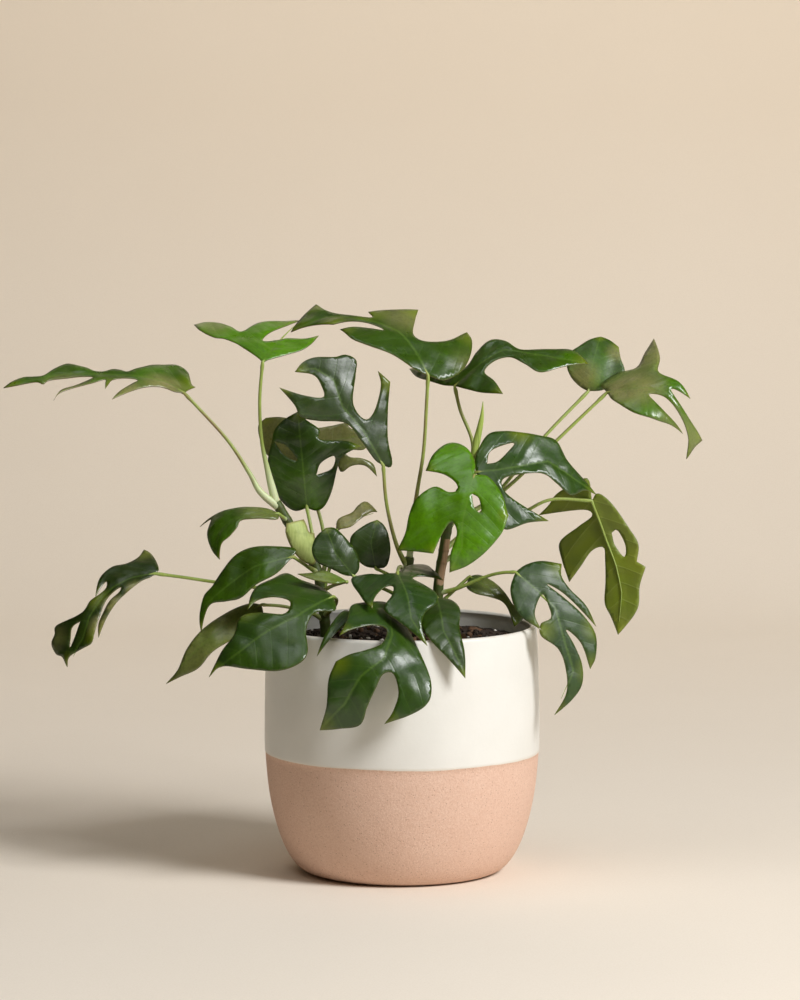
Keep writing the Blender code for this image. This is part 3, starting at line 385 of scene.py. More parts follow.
        (-0.15, -0.85, 0.5), 0.10, -6, -0.3, 0,
        [
            (-0.14, 0.04), (-0.30, 0.19), (-0.35, 0.38), (-0.20, 0.50), tip(0.01, 0.51),
            (0.03, 0.32), (0.10, 0.17), (0.19, 0.11), (0.22, 0.20), (0.18, 0.36), (0.34, 0.51),
            (0.52, 0.54), (0.72, 0.54), tip(0.91, 0.59), (0.88, 0.40), tip(0.86, 0.20),
            (0.66, 0.15), (0.52, 0.08), (0.62, 0.0), (0.82, 0.02), tip(1.0, 0.0), (0.90, -0.17),
            (0.73, -0.32), (0.52, -0.42), tip(0.32, -0.44), (0.12, -0.32), (-0.02, -0.14),
        ],
        [[(0.20, -0.04), (0.23, -0.12), (0.37, -0.18), (0.33, -0.10)]],
    ),
    Leaf(
        "leaf_right_3", RIGHT, 72, [(48, -10, 76), (71, -4, 92), (103, 3, 122)],
        (133, 6, 151), (185, -4, 108), (0.3, -0.85, 0.45), 0.38, 0, 0, 0,
        [
            (0.12, 0.12), (0.33, 0.19), (0.55, 0.11), (0.69, 0.02), tip(0.82, -0.05),
            (0.55, -0.02), (0.34, -0.07), (0.46, -0.14), (0.68, -0.13), (0.88, -0.10),
            tip(1.0, 0.0), (0.98, -0.13), tip(0.99, -0.26), (0.78, -0.20), (0.58, -0.21),
            (0.46, -0.26), tip(0.66, -0.33), (0.48, -0.37), (0.27, -0.36), (0.17, -0.55),
            tip(0.0, -0.80), (0.03, -0.58), (0.06, -0.37), (-0.06, -0.30), (-0.10, -0.13),
        ],
    ),
    Leaf(
        "leaf_right_4", RIGHT, 62, [(37, -8, 76), (42, -4, 94), (46, 2, 117), (38, 6, 139)],
        (34, 8, 155), (121, 2, 170), (-0.05, -0.62, 0.78), 0.12, 0, -0.2, 0,
        [
            (0.08, 0.09), (0.20, 0.20), tip(0.36, 0.29), (0.31, 0.14), (0.24, 0.0), (0.32, -0.08),
            (0.44, -0.08), (0.54, 0.02), (0.65, 0.13), (0.82, 0.07), tip(1.0, 0.0), (0.90, -0.12),
            (0.74, -0.12), (0.53, -0.14), (0.42, -0.27), (0.30, -0.33), (0.19, -0.25),
            (0.11, -0.14), (0.0, -0.16), (-0.18, -0.36), tip(-0.38, -0.58), (-0.30, -0.38),
            (-0.18, -0.20), (-0.08, -0.07),
        ],
    ),
    Leaf(
        "leaf_right_5", RIGHT, 50, [(44, -3, 64), (67, 3, 91), (93, 16, 121)],
        (122, 28, 150), (131, 46, 185), (-0.2, -0.8, 0.5), 0.1, -10, 0, 0,
        [
            (0.04, 0.22), (0.16, 0.42), (0.40, 0.54), (0.66, 0.42), tip(0.87, 0.34),
            (0.96, 0.17), tip(1.0, 0.0), (0.92, -0.18), (0.78, -0.32), (0.62, -0.46),
            (0.40, -0.45), (0.20, -0.34), (0.06, -0.16),
        ],
    ),
    Leaf(
        "leaf_right_6", RIGHT, 42, [(46, -11, 54), (64, -6, 65), (81, 0, 74), (98, 5, 81)],
        (124, 8, 80), (141, -4, -7), (0.3, 0.85, 0.35), 0.10, 4, -0.2, 0,
        [
            (-0.04, 0.06), (0.04, 0.13), (0.25, 0.21), (0.38, 0.25), tip(0.50, 0.21),
            tip(0.55, 0.27), (0.68, 0.20), (0.84, 0.16), tip(1.0, 0.0), (0.86, -0.05),
            (0.75, -0.09), (0.60, -0.06), (0.44, -0.03), (0.35, -0.02), (0.36, -0.12),
            (0.46, -0.24), tip(0.55, -0.35), (0.38, -0.37), (0.25, -0.35), (0.17, -0.18),
            (0.11, -0.04), (0.06, -0.07), (0.04, -0.26), tip(0.03, -0.45), (-0.03, -0.34),
            (-0.09, -0.26), (-0.14, -0.10), (-0.16, 0.03),
        ],
        [[(0.26, 0.07), (0.25, 0.12), (0.37, 0.15), (0.45, 0.12), (0.35, 0.07)]],
    ),
    Leaf(
        "leaf_right_7", RIGHT, 22, [(36, -22, 26), (54, -27, 34), (64, -31, 37)],
        (73, -34, 38), (98, -44, -54), (0.1, -0.9, 0.35), 0.08, -5, -0.3, 0,
        [
            (0.10, 0.07), (0.22, 0.08), (0.31, 0.05), tip(0.42, -0.05), (0.30, -0.04),
            (0.19, -0.13), (0.28, -0.15), (0.36, -0.14), (0.38, -0.06), (0.46, -0.04),
            (0.57, -0.13), (0.70, -0.15), (0.87, -0.12), tip(1.0, 0.0), (0.93, -0.15),
            (0.85, -0.24), (0.72, -0.27), (0.58, -0.25), (0.46, -0.22), (0.58, -0.30),
            tip(0.77, -0.32), (0.70, -0.38), (0.55, -0.42), (0.40, -0.37), (0.26, -0.28),
            (0.13, -0.18), (0.21, -0.27), (0.35, -0.36), tip(0.50, -0.44), (0.34, -0.41),
            (0.20, -0.33), (0.10, -0.30), tip(0.02, -0.33), (-0.03, -0.20), (-0.03, -0.09),
        ],
    ),
    Leaf(
        "leaf_right_8", RIGHT, 14, [(34, -16, 24)], (44, -14, 33), (73, -22, 1), (0.2, -0.7, 0.7),
        0.10, -5, -0.3, 0,
        [
            (0.09, 0.19), (0.25, 0.18), (0.45, 0.04), (0.66, -0.08), tip(1.0, 0.0), (0.98, -0.24),
            (0.74, -0.20), (0.50, -0.22), (0.27, -0.20), (0.08, -0.13),
        ],
    ),
    Leaf(
        "leaf_right_9", RIGHT, 8, [(22, -32, 17), (22, -46, 23)], (22, -56, 24), (40, -93, -23),
        (0.1, -0.7, 0.7), 0.16, -5, -0.3, 0,
        [
            (0.07, 0.15), (0.24, 0.26), (0.41, 0.29), (0.60, 0.24), (0.80, 0.13), tip(1.0, 0.0),
            (0.76, -0.05), (0.50, -0.07), (0.25, -0.16), (0.08, -0.13),
        ],
    ),
]

BRACT = Leaf(
    "bract_left", LEFT, 38, [], (-58, -8, 39), (-75, -13, 67), (0, -1, 0.2), 0.06, -14, -1.2, 0,
    [
        (0.02, 0.08), (0.16, 0.20), (0.34, 0.32), tip(0.50, 0.42), (0.60, 0.32), (0.74, 0.36),
        tip(0.88, 0.38), (0.94, 0.20), tip(1.0, 0.0), (0.84, -0.12), (0.50, -0.18), (0.20, -0.14),
    ],
)
SPEAR = [(42, -25, 97), (45, -27, 108), (48, -28, 122), (51, -29, 136), (52, -29, 147.5)]
SPEAR_RADII = [1.8, 2.2, 2.5, 1.7, 0.2]

# Where a leaf's midrib runs between its ends, if it is not straight along v = 0.
RIBS = {
    "leaf_left_1": [(0.1, 0.06), (0.25, 0.065), (0.4, 0.045), (0.7, 0.04), (0.85, 0.02)],
    "leaf_left_3": [(0.25, 0.15), (0.55, 0.33), (0.8, 0.33), (0.95, 0.15)],
    "leaf_left_5": [(0.3, 0.12), (0.6, 0.14), (0.85, 0.16)],
    "leaf_left_6": [(0.3, -0.12), (0.6, -0.15), (0.85, -0.08)],
    "leaf_left_8": [(0.15, 0.1), (0.3, 0.14), (0.45, 0.13), (0.6, 0.1), (0.75, 0.02)],
    "leaf_left_10": [(0.3, -0.06), (0.5, -0.05), (0.75, -0.04)],
    "leaf_centre_1": [(0.3, 0.06), (0.6, 0.02), (0.8, 0.05)],
    "leaf_centre_2": [(0.3, 0.07), (0.55, 0.08), (0.75, 0.18), (0.92, 0.13)],
    "leaf_centre_3": [(0.4, 0.03), (0.7, 0.08)],
    "leaf_centre_4": [(0.5, -0.12)],
    "leaf_centre_5": [(0.5, -0.1)],
    "leaf_centre_6": [(0.2, -0.15), (0.4, -0.2), (0.6, -0.12), (0.8, -0.1)],
    "leaf_right_1": [(0.15, -0.02), (0.3, -0.06), (0.55, -0.15), (0.8, -0.05)],
    "leaf_right_2": [(0.5, -0.03), (0.75, -0.08)],
    "leaf_right_3": [(0.2, -0.1), (0.4, -0.2), (0.7, -0.16), (0.9, -0.12)],
    "leaf_right_4": [(0.2, -0.1), (0.4, -0.18), (0.6, -0.08), (0.8, -0.02)],
    "leaf_right_6": [(0.3, 0.02), (0.5, 0.05), (0.7, 0.06)],
    "leaf_right_7": [(0.15, -0.1), (0.3, -0.19), (0.57, -0.19), (0.75, -0.2)],
    "leaf_right_8": [(0.4, -0.06), (0.7, -0.14)],
    "leaf_right_9": [(0.5, 0.1), (0.8, 0.04)],
}

# How fresh each leaf is, from old and blue-green at 0 to new and yellow-green at 1, how
# pink its underside and margin are, and its stalk's radius at the root in millimetres.
LOOKS = {
    "leaf_left_1": (0.50, 0.7, 2.9),
    "leaf_left_2": (0.80, 0.3, 3.0),
    "leaf_left_3": (0.45, 0.6, 1.9),
    "leaf_left_4": (0.32, 0.1, 1.7),
    "leaf_left_5": (0.40, 0.2, 1.9),
    "leaf_left_6": (0.20, 0.3, 1.7),
    "leaf_left_7": (0.45, 0.4, 1.4),
    "leaf_left_8": (0.10, 0.4, 1.7),
    "leaf_left_9": (0.50, 0.3, 1.7),
    "leaf_left_10": (0.22, 0.1, 1.9),
    "leaf_left_11": (0.60, 0.2, 1.5),
    "leaf_centre_1": (0.36, 0.6, 2.2),
    "leaf_centre_2": (0.24, 0.3, 1.9),
    "leaf_centre_3": (0.15, 0.1, 1.9),
    "leaf_centre_4": (0.25, 0.2, 1.6),
    "leaf_centre_5": (0.20, 0.2, 1.6),
    "leaf_centre_6": (0.22, 0.1, 2.1),
    "leaf_centre_7": (0.35, 0.1, 1.4),
    "leaf_right_1": (0.22, 0.3, 2.0),
    "leaf_right_2": (0.80, 0.1, 2.1),
    "leaf_right_3": (0.60, 0.3, 1.9),
    "leaf_right_4": (0.40, 0.3, 2.0),
    "leaf_right_5": (0.50, 0.3, 1.9),
    "leaf_right_6": (0.55, 0.1, 1.9),
    "leaf_right_7": (0.12, 0.1, 1.8),
    "leaf_right_8": (0.35, 0.1, 1.5),
    "leaf_right_9": (0.25, 0.1, 1.6),
}

# Paler, browner patches: the middle in (u, v), the reach in blade lengths, how strong.
PATCHES = {
    "leaf_left_1": [(0.12, 0.0, 0.10, 0.9), (0.66, -0.1, 0.12, 0.8), (0.32, -0.1, 0.10, 0.8)],
    "leaf_left_2": [(0.6, -0.8, 0.2, 0.5), (0.9, 0.0, 0.2, 0.4)],
    "leaf_left_3": [(0.1, 0.1, 0.3, 0.5)],
    "leaf_left_6": [(0.2, -0.5, 1.2, 0.75)],
    "leaf_left_7": [(0.5, 0.0, 1.0, 1.0)],
    "leaf_left_8": [(0.40, 0.02, 0.07, 0.9), (0.60, -0.04, 0.08, 0.9), (0.2, -0.01, 0.06, 0.9),
                    (-0.08, 0.25, 0.08, 0.4), (0.9, 0.25, 0.1, 0.3)],
    "leaf_left_9": [(0.5, 0.0, 0.9, 0.6)],
    "leaf_left_11": [(0.6, 0.0, 0.5, 0.5)],
    "leaf_centre_1": [(0.37, 0.2, 0.12, 0.6), (-0.05, 0.3, 0.1, 0.3)],
    "leaf_right_3": [(0.15, -0.1, 0.24, 0.9), (0.06, -0.6, 0.3, 0.8), (0.7, 0.0, 0.2, 0.4),
                     (0.9, -0.2, 0.2, 0.5)],
    "leaf_right_5": [(0.2, -0.15, 0.25, 0.8), (0.75, 0.35, 0.16, 0.6)],
    "leaf_right_8": [(0.5, -0.1, 0.4, 0.4)],
}

# How much rougher the duller leaves are, and how far painted shade darkens the darkest ones' green.
DULL = {
    "leaf_centre_2": 0.06, "leaf_centre_4": 0.06, "leaf_centre_5": 0.06, "leaf_right_5": 0.10,
    "leaf_right_7": 0.15, "leaf_right_9": 0.06,
}
# Painted shade: leaves turned from the light or lying in the others' shadow are painted darker.
PAINTED_SHADE = {
    "leaf_left_8": 0.8, "leaf_centre_2": 0.6, "leaf_centre_4": 0.5, "leaf_centre_5": 0.4,
    "leaf_right_9": 0.4,
}


def linear(red, green, blue):
    """A colour as a screen shows it, 0 to 255, as the linear value that a shader takes."""
    return tuple((c / 255) ** 2.2 for c in (red, green, blue)) + (1.0,)


def on_plan(x, y, h):
    return Vector((x * MM, y * MM, POT_HEIGHT + h * MM))


# ---------------------------------------------------------------- writing materials


class Graph:
    """A material, a short way to write its nodes, and its colour as built up so far."""

    def __init__(self, name):
        self.material = bpy.data.materials.new(name)
        self.material.use_nodes = True
        self.tree = self.material.node_tree
        self.shader = self.tree.nodes["Principled BSDF"]
        self.place = self.add("ShaderNodeTexCoord").outputs["Object"]
        self.colour = None

    def add(self, kind, **settings):
        node = self.tree.nodes.new(kind)
        for key, value in settings.items():
            setattr(node, key, value)
        return node

    def plug(self, socket, value):
        if isinstance(value, bpy.types.NodeSocket):
            self.tree.links.new(value, socket)
        else:
            socket.default_value = value

    def math(self, operation, *values, clamp=False):
        node = self.add("ShaderNodeMath", operation=operation, use_clamp=clamp)
        for socket, value in zip(node.inputs, values):
            self.plug(socket, value)
        return node.outputs[0]

    def times(self, a, b):
        return self.math("MULTIPLY", a, b)

    def plus(self, a, b, clamp=False):
        return self.math("ADD", a, b, clamp=clamp)

    def minus(self, a, b):
        return self.math("SUBTRACT", a, b)

    def fit(self, value, low, high, to_low=0.0, to_high=1.0):
        """value taken from low..high to to_low..to_high, and held between them."""
        node = self.add("ShaderNodeMapRange")
        for socket, number in zip(node.inputs, (value, low, high, to_low, to_high)):
            self.plug(socket, number)
        return node.outputs["Result"]

    def blend(self, amount, first, second):
        """A mix of two colours, each a socket or (red, green, blue) as a screen shows it."""
        node = self.add("ShaderNodeMix", data_type="RGBA")
        self.plug(node.inputs["Factor"], amount)
        for name, colour in (("A", first), ("B", second)):
            self.plug(node.inputs[name], linear(*colour) if isinstance(colour, tuple) else colour)
        return node.outputs["Result"]

    def paint(self, amount, first, second):
        """Starts the colour as a mix of two."""
        self.colour = self.blend(amount, first, second)

    def tint(self, amount, colour):
        """Lays an amount of one more colour over the colour so far."""
        self.colour = self.blend(amount, self.colour, colour)

    def noise(self, scale, detail=3, vector=None):
        node = self.add("ShaderNodeTexNoise")
        node.inputs["Scale"].default_value = scale
        node.inputs["Detail"].default_value = detail
        node.inputs["Roughness"].default_value = NOISE_ROUGHNESS
        self.plug(node.inputs["Vector"], vector or self.place)
        return node.outputs["Fac"]

    def spread(self, scale, low, high, detail=3):
        """Noise whose usual range is taken to low..high."""
        return self.fit(self.noise(scale, detail), *NOISE_RANGE, low, high)

    def streaks(self, detail, scales):
        """Noise drawn out into lines, by a scale of its own along each axis."""
        mapping = self.add("ShaderNodeMapping")
        mapping.inputs["Scale"].default_value = scales
        self.plug(mapping.inputs["Vector"], self.place)
        return self.noise(1.0, detail, mapping.outputs[0])

    def specks(self, scale, inner, outer, rarity):
        """Spots in a share of the cells of a scale, full within inner and gone by outer."""
        cells = self.add("ShaderNodeTexVoronoi")
        cells.inputs["Scale"].default_value = scale
        self.plug(cells.inputs["Vector"], self.place)
        chosen = self.math("GREATER_THAN", cells.outputs["Color"], rarity)
        return self.times(self.fit(cells.outputs["Distance"], inner, outer, 1.0, 0.0), chosen)

    def separate(self, vector):
        node = self.add("ShaderNodeSeparateXYZ")
        self.plug(node.inputs[0], vector)
        return tuple(node.outputs)

    def kept(self, name):
        """The three numbers that keep_numbers put at each point under a name."""
        return self.separate(self.add("ShaderNodeAttribute", attribute_name=name).outputs["Vector"])

    def bump(self, height, depth, strength=1.0, under=None):
        node = self.add("ShaderNodeBump")
        node.inputs["Strength"].default_value = strength
        node.inputs["Distance"].default_value = depth
        self.plug(node.inputs["Height"], height)
        if under:
            self.plug(node.inputs["Normal"], under)
        return node.outputs["Normal"]

    def finish(self, roughness, normal=None, **fixed):
        self.plug(self.shader.inputs["Base Color"], self.colour)
        self.plug(self.shader.inputs["Roughness"], roughness)
        if normal:
            self.plug(self.shader.inputs["Normal"], normal)
        for name, value in fixed.items():
            self.shader.inputs[name.replace("_", " ")].default_value = value
        return self.material


def vein_lines(g, u, v):
    """How near a point is to a side vein, from 0 to 1, and its distance from the midrib."""
    reach = g.math("ABSOLUTE", v)
    curve = g.times(g.times(reach, reach), VEIN_CURVE)
    order = g.minus(g.minus(u, g.times(reach, VEIN_SLANT)), curve)
    wave = g.math("PINGPONG", g.times(order, SIDE_VEINS), 0.5)
    return g.fit(wave, 0.0, 0.07, 1.0, 0.0), reach


def leaf_upper():
    """Glossy green, from blue-green when old to yellow-green when new, with painted shade darkening
    the leaves that lie in shadow.
    """
    g = Graph("leaf_upper")
    u, v, edge = g.kept("blade")
    tip_gap, fresh, pale = g.kept("look")
    _, rougher, painted_shade = g.kept("flush")
    side, reach = vein_lines(g, u, v)
    amount = g.plus(fresh, g.spread(42, -0.14, 0.14), clamp=True)
    old = g.blend(g.fit(amount, 0.0, 0.4), (38, 64, 24), (54, 80, 8))
    g.paint(g.fit(amount, 0.4, 1.0), old, (92, 146, 6))
    # Painted shade: the leaves in shadow are darkened towards a deep green.
    g.tint(painted_shade, g.blend(g.noise(80), (28, 46, 2), (48, 58, 6)))
    dull = g.blend(g.noise(60), (128, 120, 74), (150, 150, 92))
    g.tint(g.times(pale, g.fit(g.noise(50), 0.2, 0.6, 0.6, 1.0)), dull)
    g.tint(g.fit(g.noise(600, 2), 0.45, 0.75, 0.0, 0.3), (28, 48, 8))
    g.tint(g.times(side, 0.10), (96, 128, 52))
    g.tint(g.fit(reach, 0.004, 0.013, 0.28, 0.0), (104, 134, 54))
    g.tint(g.fit(tip_gap, 0.0, 0.13, 0.6, 0.0), (126, 140, 26))
    g.tint(g.fit(edge, 0.0, 0.010, 0.35, 0.0), (96, 96, 40))
    skin = g.minus(g.times(g.noise(380), 0.5), g.times(side, 0.22))
    normal = g.bump(skin, 0.0004, 0.55, g.bump(g.noise(42, 1), 0.005, 1.0))
    rough = g.plus(g.spread(90, 0.27, 0.40), rougher)
    return g.finish(rough, normal, Specular_IOR_Level=0.62, **LEAF_GLOW)


def leaf_under():
    """The duller side below, flushed brown-pink on the older leaves."""
    g = Graph("leaf_under")
    u, v, _ = g.kept("blade")
    tip_gap, fresh, _ = g.kept("look")
    pink = g.kept("flush")[0]
    side, _ = vein_lines(g, u, v)
    g.paint(g.plus(fresh, g.spread(60, -0.2, 0.2), clamp=True), (80, 92, 44), (122, 138, 30))
    flush = g.times(g.fit(g.noise(38, 2), 0.40, 0.64), g.times(pink, 0.8))
    g.tint(flush, (128, 100, 70))
    g.tint(g.times(side, 0.3), (140, 150, 78))
    g.tint(g.fit(tip_gap, 0.0, 0.16, 0.5, 0.0), (140, 146, 40))
    height = g.plus(g.times(side, 0.5), g.times(g.noise(500), 0.4))
    return g.finish(g.spread(150, 0.42, 0.58), g.bump(height, 0.0004, 0.6), **LEAF_GLOW)


def leaf_rim():
    g = Graph("leaf_rim")
    pink = g.kept("flush")[0]
    g.paint(g.noise(300), (58, 74, 22), (98, 102, 38))
    g.tint(g.times(pink, 0.7), (126, 96, 64))
    return g.finish(g.spread(200, 0.4, 0.55))


def stalk_skin():
    """Stalks and midribs: yellow-green, flushed brown-pink along one side, with fine lines."""
    g = Graph("stalk")
    along, turn, pink = g.kept("along")
    lines = g.streaks(4, (1300, 1300, 90))
    g.paint(lines, (118, 140, 52), (166, 184, 98))
    one_side = g.fit(g.math("PINGPONG", g.plus(turn, 0.15), 0.5), 0.18, 0.38)
    patch = g.fit(g.noise(70), 0.35, 0.65)
    g.tint(g.times(g.times(one_side, patch), pink), (138, 104, 78))
    g.tint(g.fit(along, 0.3, 1.0, 0.85, 0.0), (206, 216, 172))
    height = g.plus(g.times(lines, 0.8), g.noise(900, 2))
    rough = g.fit(lines, *NOISE_RANGE, 0.36, 0.5)
    return g.finish(rough, g.bump(height, 0.0002, 0.6), Subsurface_Weight=0.08,
                    Subsurface_Scale=0.002)


def vine_skin():
    """Vines: green where young, tan where a dry sheath clings, ringed brown at each node."""
    g = Graph("vine")
    ring, dry, turn = g.kept("along")
    lines = g.streaks(4, (1100, 1100, 70))
    green = g.blend(lines, (34, 48, 10), (86, 104, 34))
    tan = g.blend(lines, (140, 108, 78), (200, 166, 132))
    around = g.plus(turn, g.spread(60, -0.06, 0.06))
    front = g.times(g.fit(around, 0.20, 0.27), g.fit(around, 0.80, 0.86, 1.0, 0.0))
    edge = g.fit(g.plus(dry, g.spread(90, -0.4, 0.4, detail=4)), 0.42, 0.58)
    g.paint(g.times(edge, front), green, tan)
    g.tint(g.fit(ring, 0.45, 0.95, 0.0, 0.35), (78, 64, 36))
    height = g.plus(lines, g.times(g.noise(600, 4), 0.6))
    return g.finish(g.fit(lines, *NOISE_RANGE, 0.45, 0.65), g.bump(height, 0.0004, 0.7))


def paper_skin():
    """The bract: pale olive and papery, browned at its margin."""
    g = Graph("bract")
    u, _, edge = g.kept("blade")
    lines = g.streaks(4, (700, 700, 90))
    g.paint(lines, (128, 148, 60), (206, 216, 138))
    g.tint(g.fit(g.noise(120, 4), 0.45, 0.65, 0.0, 0.6), (104, 122, 48))
    g.tint(g.fit(u, 0.0, 0.5, 0.6, 0.0), (96, 112, 44))
    g.tint(g.fit(edge, 0.0, 0.05, 0.7, 0.0), (118, 96, 56))
    return g.finish(g.fit(lines, *NOISE_RANGE, 0.5, 0.68), g.bump(lines, 0.0003, 0.7))


def spear_skin():
    """The rolled leaf: yellow-green, with the roll's edge winding round it."""
    g = Graph("spear")
    along, turn, _ = g.kept("along")
    roll = g.math("PINGPONG", g.plus(turn, g.times(along, 22.0)), 0.5)
    lines = g.streaks(3, (900, 900, 60))
    g.paint(lines, (122, 146, 58), (172, 190, 96))
    g.tint(g.fit(roll, 0.0, 0.05, 0.6, 0.0), (84, 104, 44))
    return g.finish(g.fit(lines, *NOISE_RANGE, 0.3, 0.45), g.bump(roll, 0.0003, 0.5))


def glaze():
    """Satin cream glaze, thinner and warmer on the lip, with faint pooling and pinholes."""
    g = Graph("glaze")
    z = g.separate(g.place)[2]
    g.paint(g.noise(28, 4), (224, 222, 214), (235, 234, 227))
    lip = g.times(g.fit(z, POT_HEIGHT - 0.002, POT_HEIGHT - 0.0002), g.fit(g.noise(160, 4), 0.35, 0.7))
    g.tint(g.times(lip, 0.45), (212, 192, 166))
    g.tint(g.fit(z, GLAZE_LINE, GLAZE_LINE + 0.0016, 0.35, 0.0), (222, 206, 182))
    g.tint(g.times(g.specks(420, 0.05, 0.12, 0.86), 0.35), (176, 152, 124))
    rings = g.streaks(2, (6, 6, 260))
    skin = g.plus(g.times(rings, 0.5), g.noise(210))
    return g.finish(g.spread(90, 0.34, 0.48, detail=4), g.bump(skin, 0.0003, 0.35),
                    Coat_Weight=0.15, Coat_Roughness=0.3)


def clay():
    """Raw pink clay, finely speckled light and dark, a little rough to the touch."""
    g = Graph("clay")
    g.paint(g.noise(34, 4), (220, 183, 161), (232, 199, 178))
    g.tint(g.fit(g.noise(900), 0.4, 0.7, 0.0, 0.42), (196, 150, 122))
    g.tint(g.times(g.specks(1150, 0.12, 0.34, 0.62), 0.7), (244, 218, 198))
    g.tint(g.times(g.specks(640, 0.10, 0.24, 0.66), 0.75), (126, 86, 66))
    height = g.plus(g.noise(700, 4), g.times(g.noise(1600), 0.8))
    return g.finish(g.spread(300, 0.72, 0.88), g.bump(height, 0.0004, 0.7))


def earth():
    g = Graph("soil")
    g.paint(g.noise(260, 5), (22, 17, 13), (66, 50, 37))
    g.tint(g.fit(g.noise(900, 4), 0.55, 0.8, 0.0, 0.6), (92, 72, 52))
    height = g.plus(g.noise(500, 6), g.times(g.noise(1500, 4), 0.5))
    return g.finish(g.spread(400, 0.8, 0.95), g.bump(height, 0.0012))


def bark():
    g = Graph("bark")
    lines = g.streaks(5, (900, 260, 900))
    g.paint(lines, (48, 33, 23), (112, 80, 52))
    return g.finish(g.fit(lines, *NOISE_RANGE, 0.7, 0.9), g.bump(lines, 0.0006, 0.9))


def perlite():
    g = Graph("perlite")
    g.paint(g.noise(700, 4), (198, 190, 176), (238, 234, 226))
    g.tint(g.fit(g.noise(300), 0.55, 0.8, 0.0, 0.6), (150, 132, 108))
    return g.finish(g.spread(500, 0.75, 0.92), g.bump(g.noise(1100, 5), 0.0005, 0.9))


def paper_sweep():
    """The backdrop's paper, with painted shade: a little darker and warmer up the wall than on the
    floor.
    """
    g = Graph("backdrop")
    z = g.separate(g.place)[2]
    floor = g.blend(g.noise(3), (237, 227, 211), (243, 233, 218))
    # Painted shade: the paper up the wall is painted darker and warmer than the same paper on the
    # floor.
    wall = g.blend(g.noise(3), (228, 213, 192), (232, 218, 198))
    g.paint(g.fit(z, 0.0, 0.5), floor, wall)
    g.tint(g.fit(g.noise(900, 2), 0.4, 0.7, 0.0, 0.25), (222, 208, 188))
    return g.finish(g.spread(40, 0.86, 0.95), g.bump(g.noise(1400), 0.0001, 0.4))


# ---------------------------------------------------------------- curves and blades


def smooth_through(points, pieces):
    """A Catmull-Rom curve through the points, each span cut into a number of pieces."""
    ends = [points[0] * 2 - points[1]] + list(points) + [points[-1] * 2 - points[-2]]
    path = []
    for a, b, c, d in zip(ends, ends[1:], ends[2:], ends[3:]):
        for i in range(pieces):
            t = i / pieces
            path.append(
                (b * 2 + (c - a) * t + (a * 2 - b * 5 + c * 4 - d) * t**2
                 + (b * 3 - a - c * 3 + d) * t**3) / 2
            )
    return path + [points[-1]]


def evenly(path, step):
    """The path resampled at equal spacing, about a step apart, with its ends kept."""
    lengths = [0.0]
    for a, b in zip(path, path[1:]):
        lengths.append(lengths[-1] + (b - a).length)
    pieces = max(1, round(lengths[-1] / step))
    result = []
    index = 0
    for i in range(pieces):
        target = lengths[-1] * i / pieces
        while lengths[index + 1] < target:
            index += 1
        share = (target - lengths[index]) / max(lengths[index + 1] - lengths[index], 1e-9)
        result.append(path[index].lerp(path[index + 1], share))
    return result + [path[-1]]


def closed_loop(start, points, step):
    """A closed loop in (u, v), smooth but for its tips and its start."""
    knots = [tip(*start)] + [p if len(p) == 3 else (*p, False) for p in points]
    knots.append(knots[0])
    corners = [i for i, knot in enumerate(knots) if knot[2]]
    loop = []
    for first, last in zip(corners, corners[1:]):
        span = [Vector(knot[:2]) for knot in knots[first : last + 1]]
        loop += evenly(smooth_through(span, 12), step)[:-1]
    return loop


def inside(points, loops):
    """For each point, whether it is inside the first loop and outside the others."""
    crossings = np.zeros(len(points), int)
    for loop in loops:
        ends = np.array(loop)
        for a, b in zip(ends, np.roll(ends, -1, axis=0)):
            between = (a[1] > points[:, 1]) != (b[1] > points[:, 1])
            slope = (b[0] - a[0]) / (b[1] - a[1]) if a[1] != b[1] else 0.0
            crossings += between & (points[:, 0] < a[0] + (points[:, 1] - a[1]) * slope)
    return crossings % 2 == 1


def nearest(points, others):
    """Each point's distance from the nearest of some others."""
    gaps = points[:, None, :] - np.array(others)[None, :, :]
    return np.sqrt((gaps**2).sum(axis=2)).min(axis=1)


class BladeSurface:
    """Where a blade's points lie. u runs from the stalk (0) to the tip (1), v across it,
    to the right as seen from the upper side, both in blade lengths."""

    def __init__(self, leaf):
        self.leaf = leaf
        self.base = Vector(leaf.base)
        chord = Vector(leaf.tip) - self.base
        self.length = chord.length
        self.along = chord.normalized()
        face = Vector(leaf.face)
        self.up = (face - self.along * face.dot(self.along)).normalized()
        self.side = self.along.cross(self.up)
        self.fold = math.radians(leaf.fold)
        self.rib = [(0, 0)] + RIBS.get(leaf.name, []) + [(1, 0)]

    def at(self, u, v, lift=0.0):
        """A point in metres, lifted off the blade by some millimetres."""
        bow = 4 * u * (1 - u)
        slope = 4 * (1 - 2 * u)
        bend = self.up * self.leaf.arch + self.side * self.leaf.sweep
        middle = self.base + (self.along * u + bend * bow) * self.length
        along = (self.along + bend * slope).normalized()
        up = (self.up - along * self.up.dot(along)).normalized()
        side = along.cross(up)
        across, rise = self.cross_section(abs(v))
        offset = side * math.copysign(across, v) + up * rise
        return on_plan(*(middle + offset * self.length + up * lift))

    def cross_section(self, reach):
        """How far out and up a point of a half lies, when the half is folded and curled."""
        curl = self.leaf.curl
        if abs(curl) < 1e-6:
            return reach * math.cos(self.fold), reach * math.sin(self.fold)
        end = self.fold + curl * reach
        across = (math.sin(end) - math.sin(self.fold)) / curl
        rise = (math.cos(self.fold) - math.cos(end)) / curl
        return across, rise

    def rib_at(self, u):
        """The midrib's v at a given u."""
        us, vs = zip(*self.rib)
        return float(np.interp(u, us, vs))


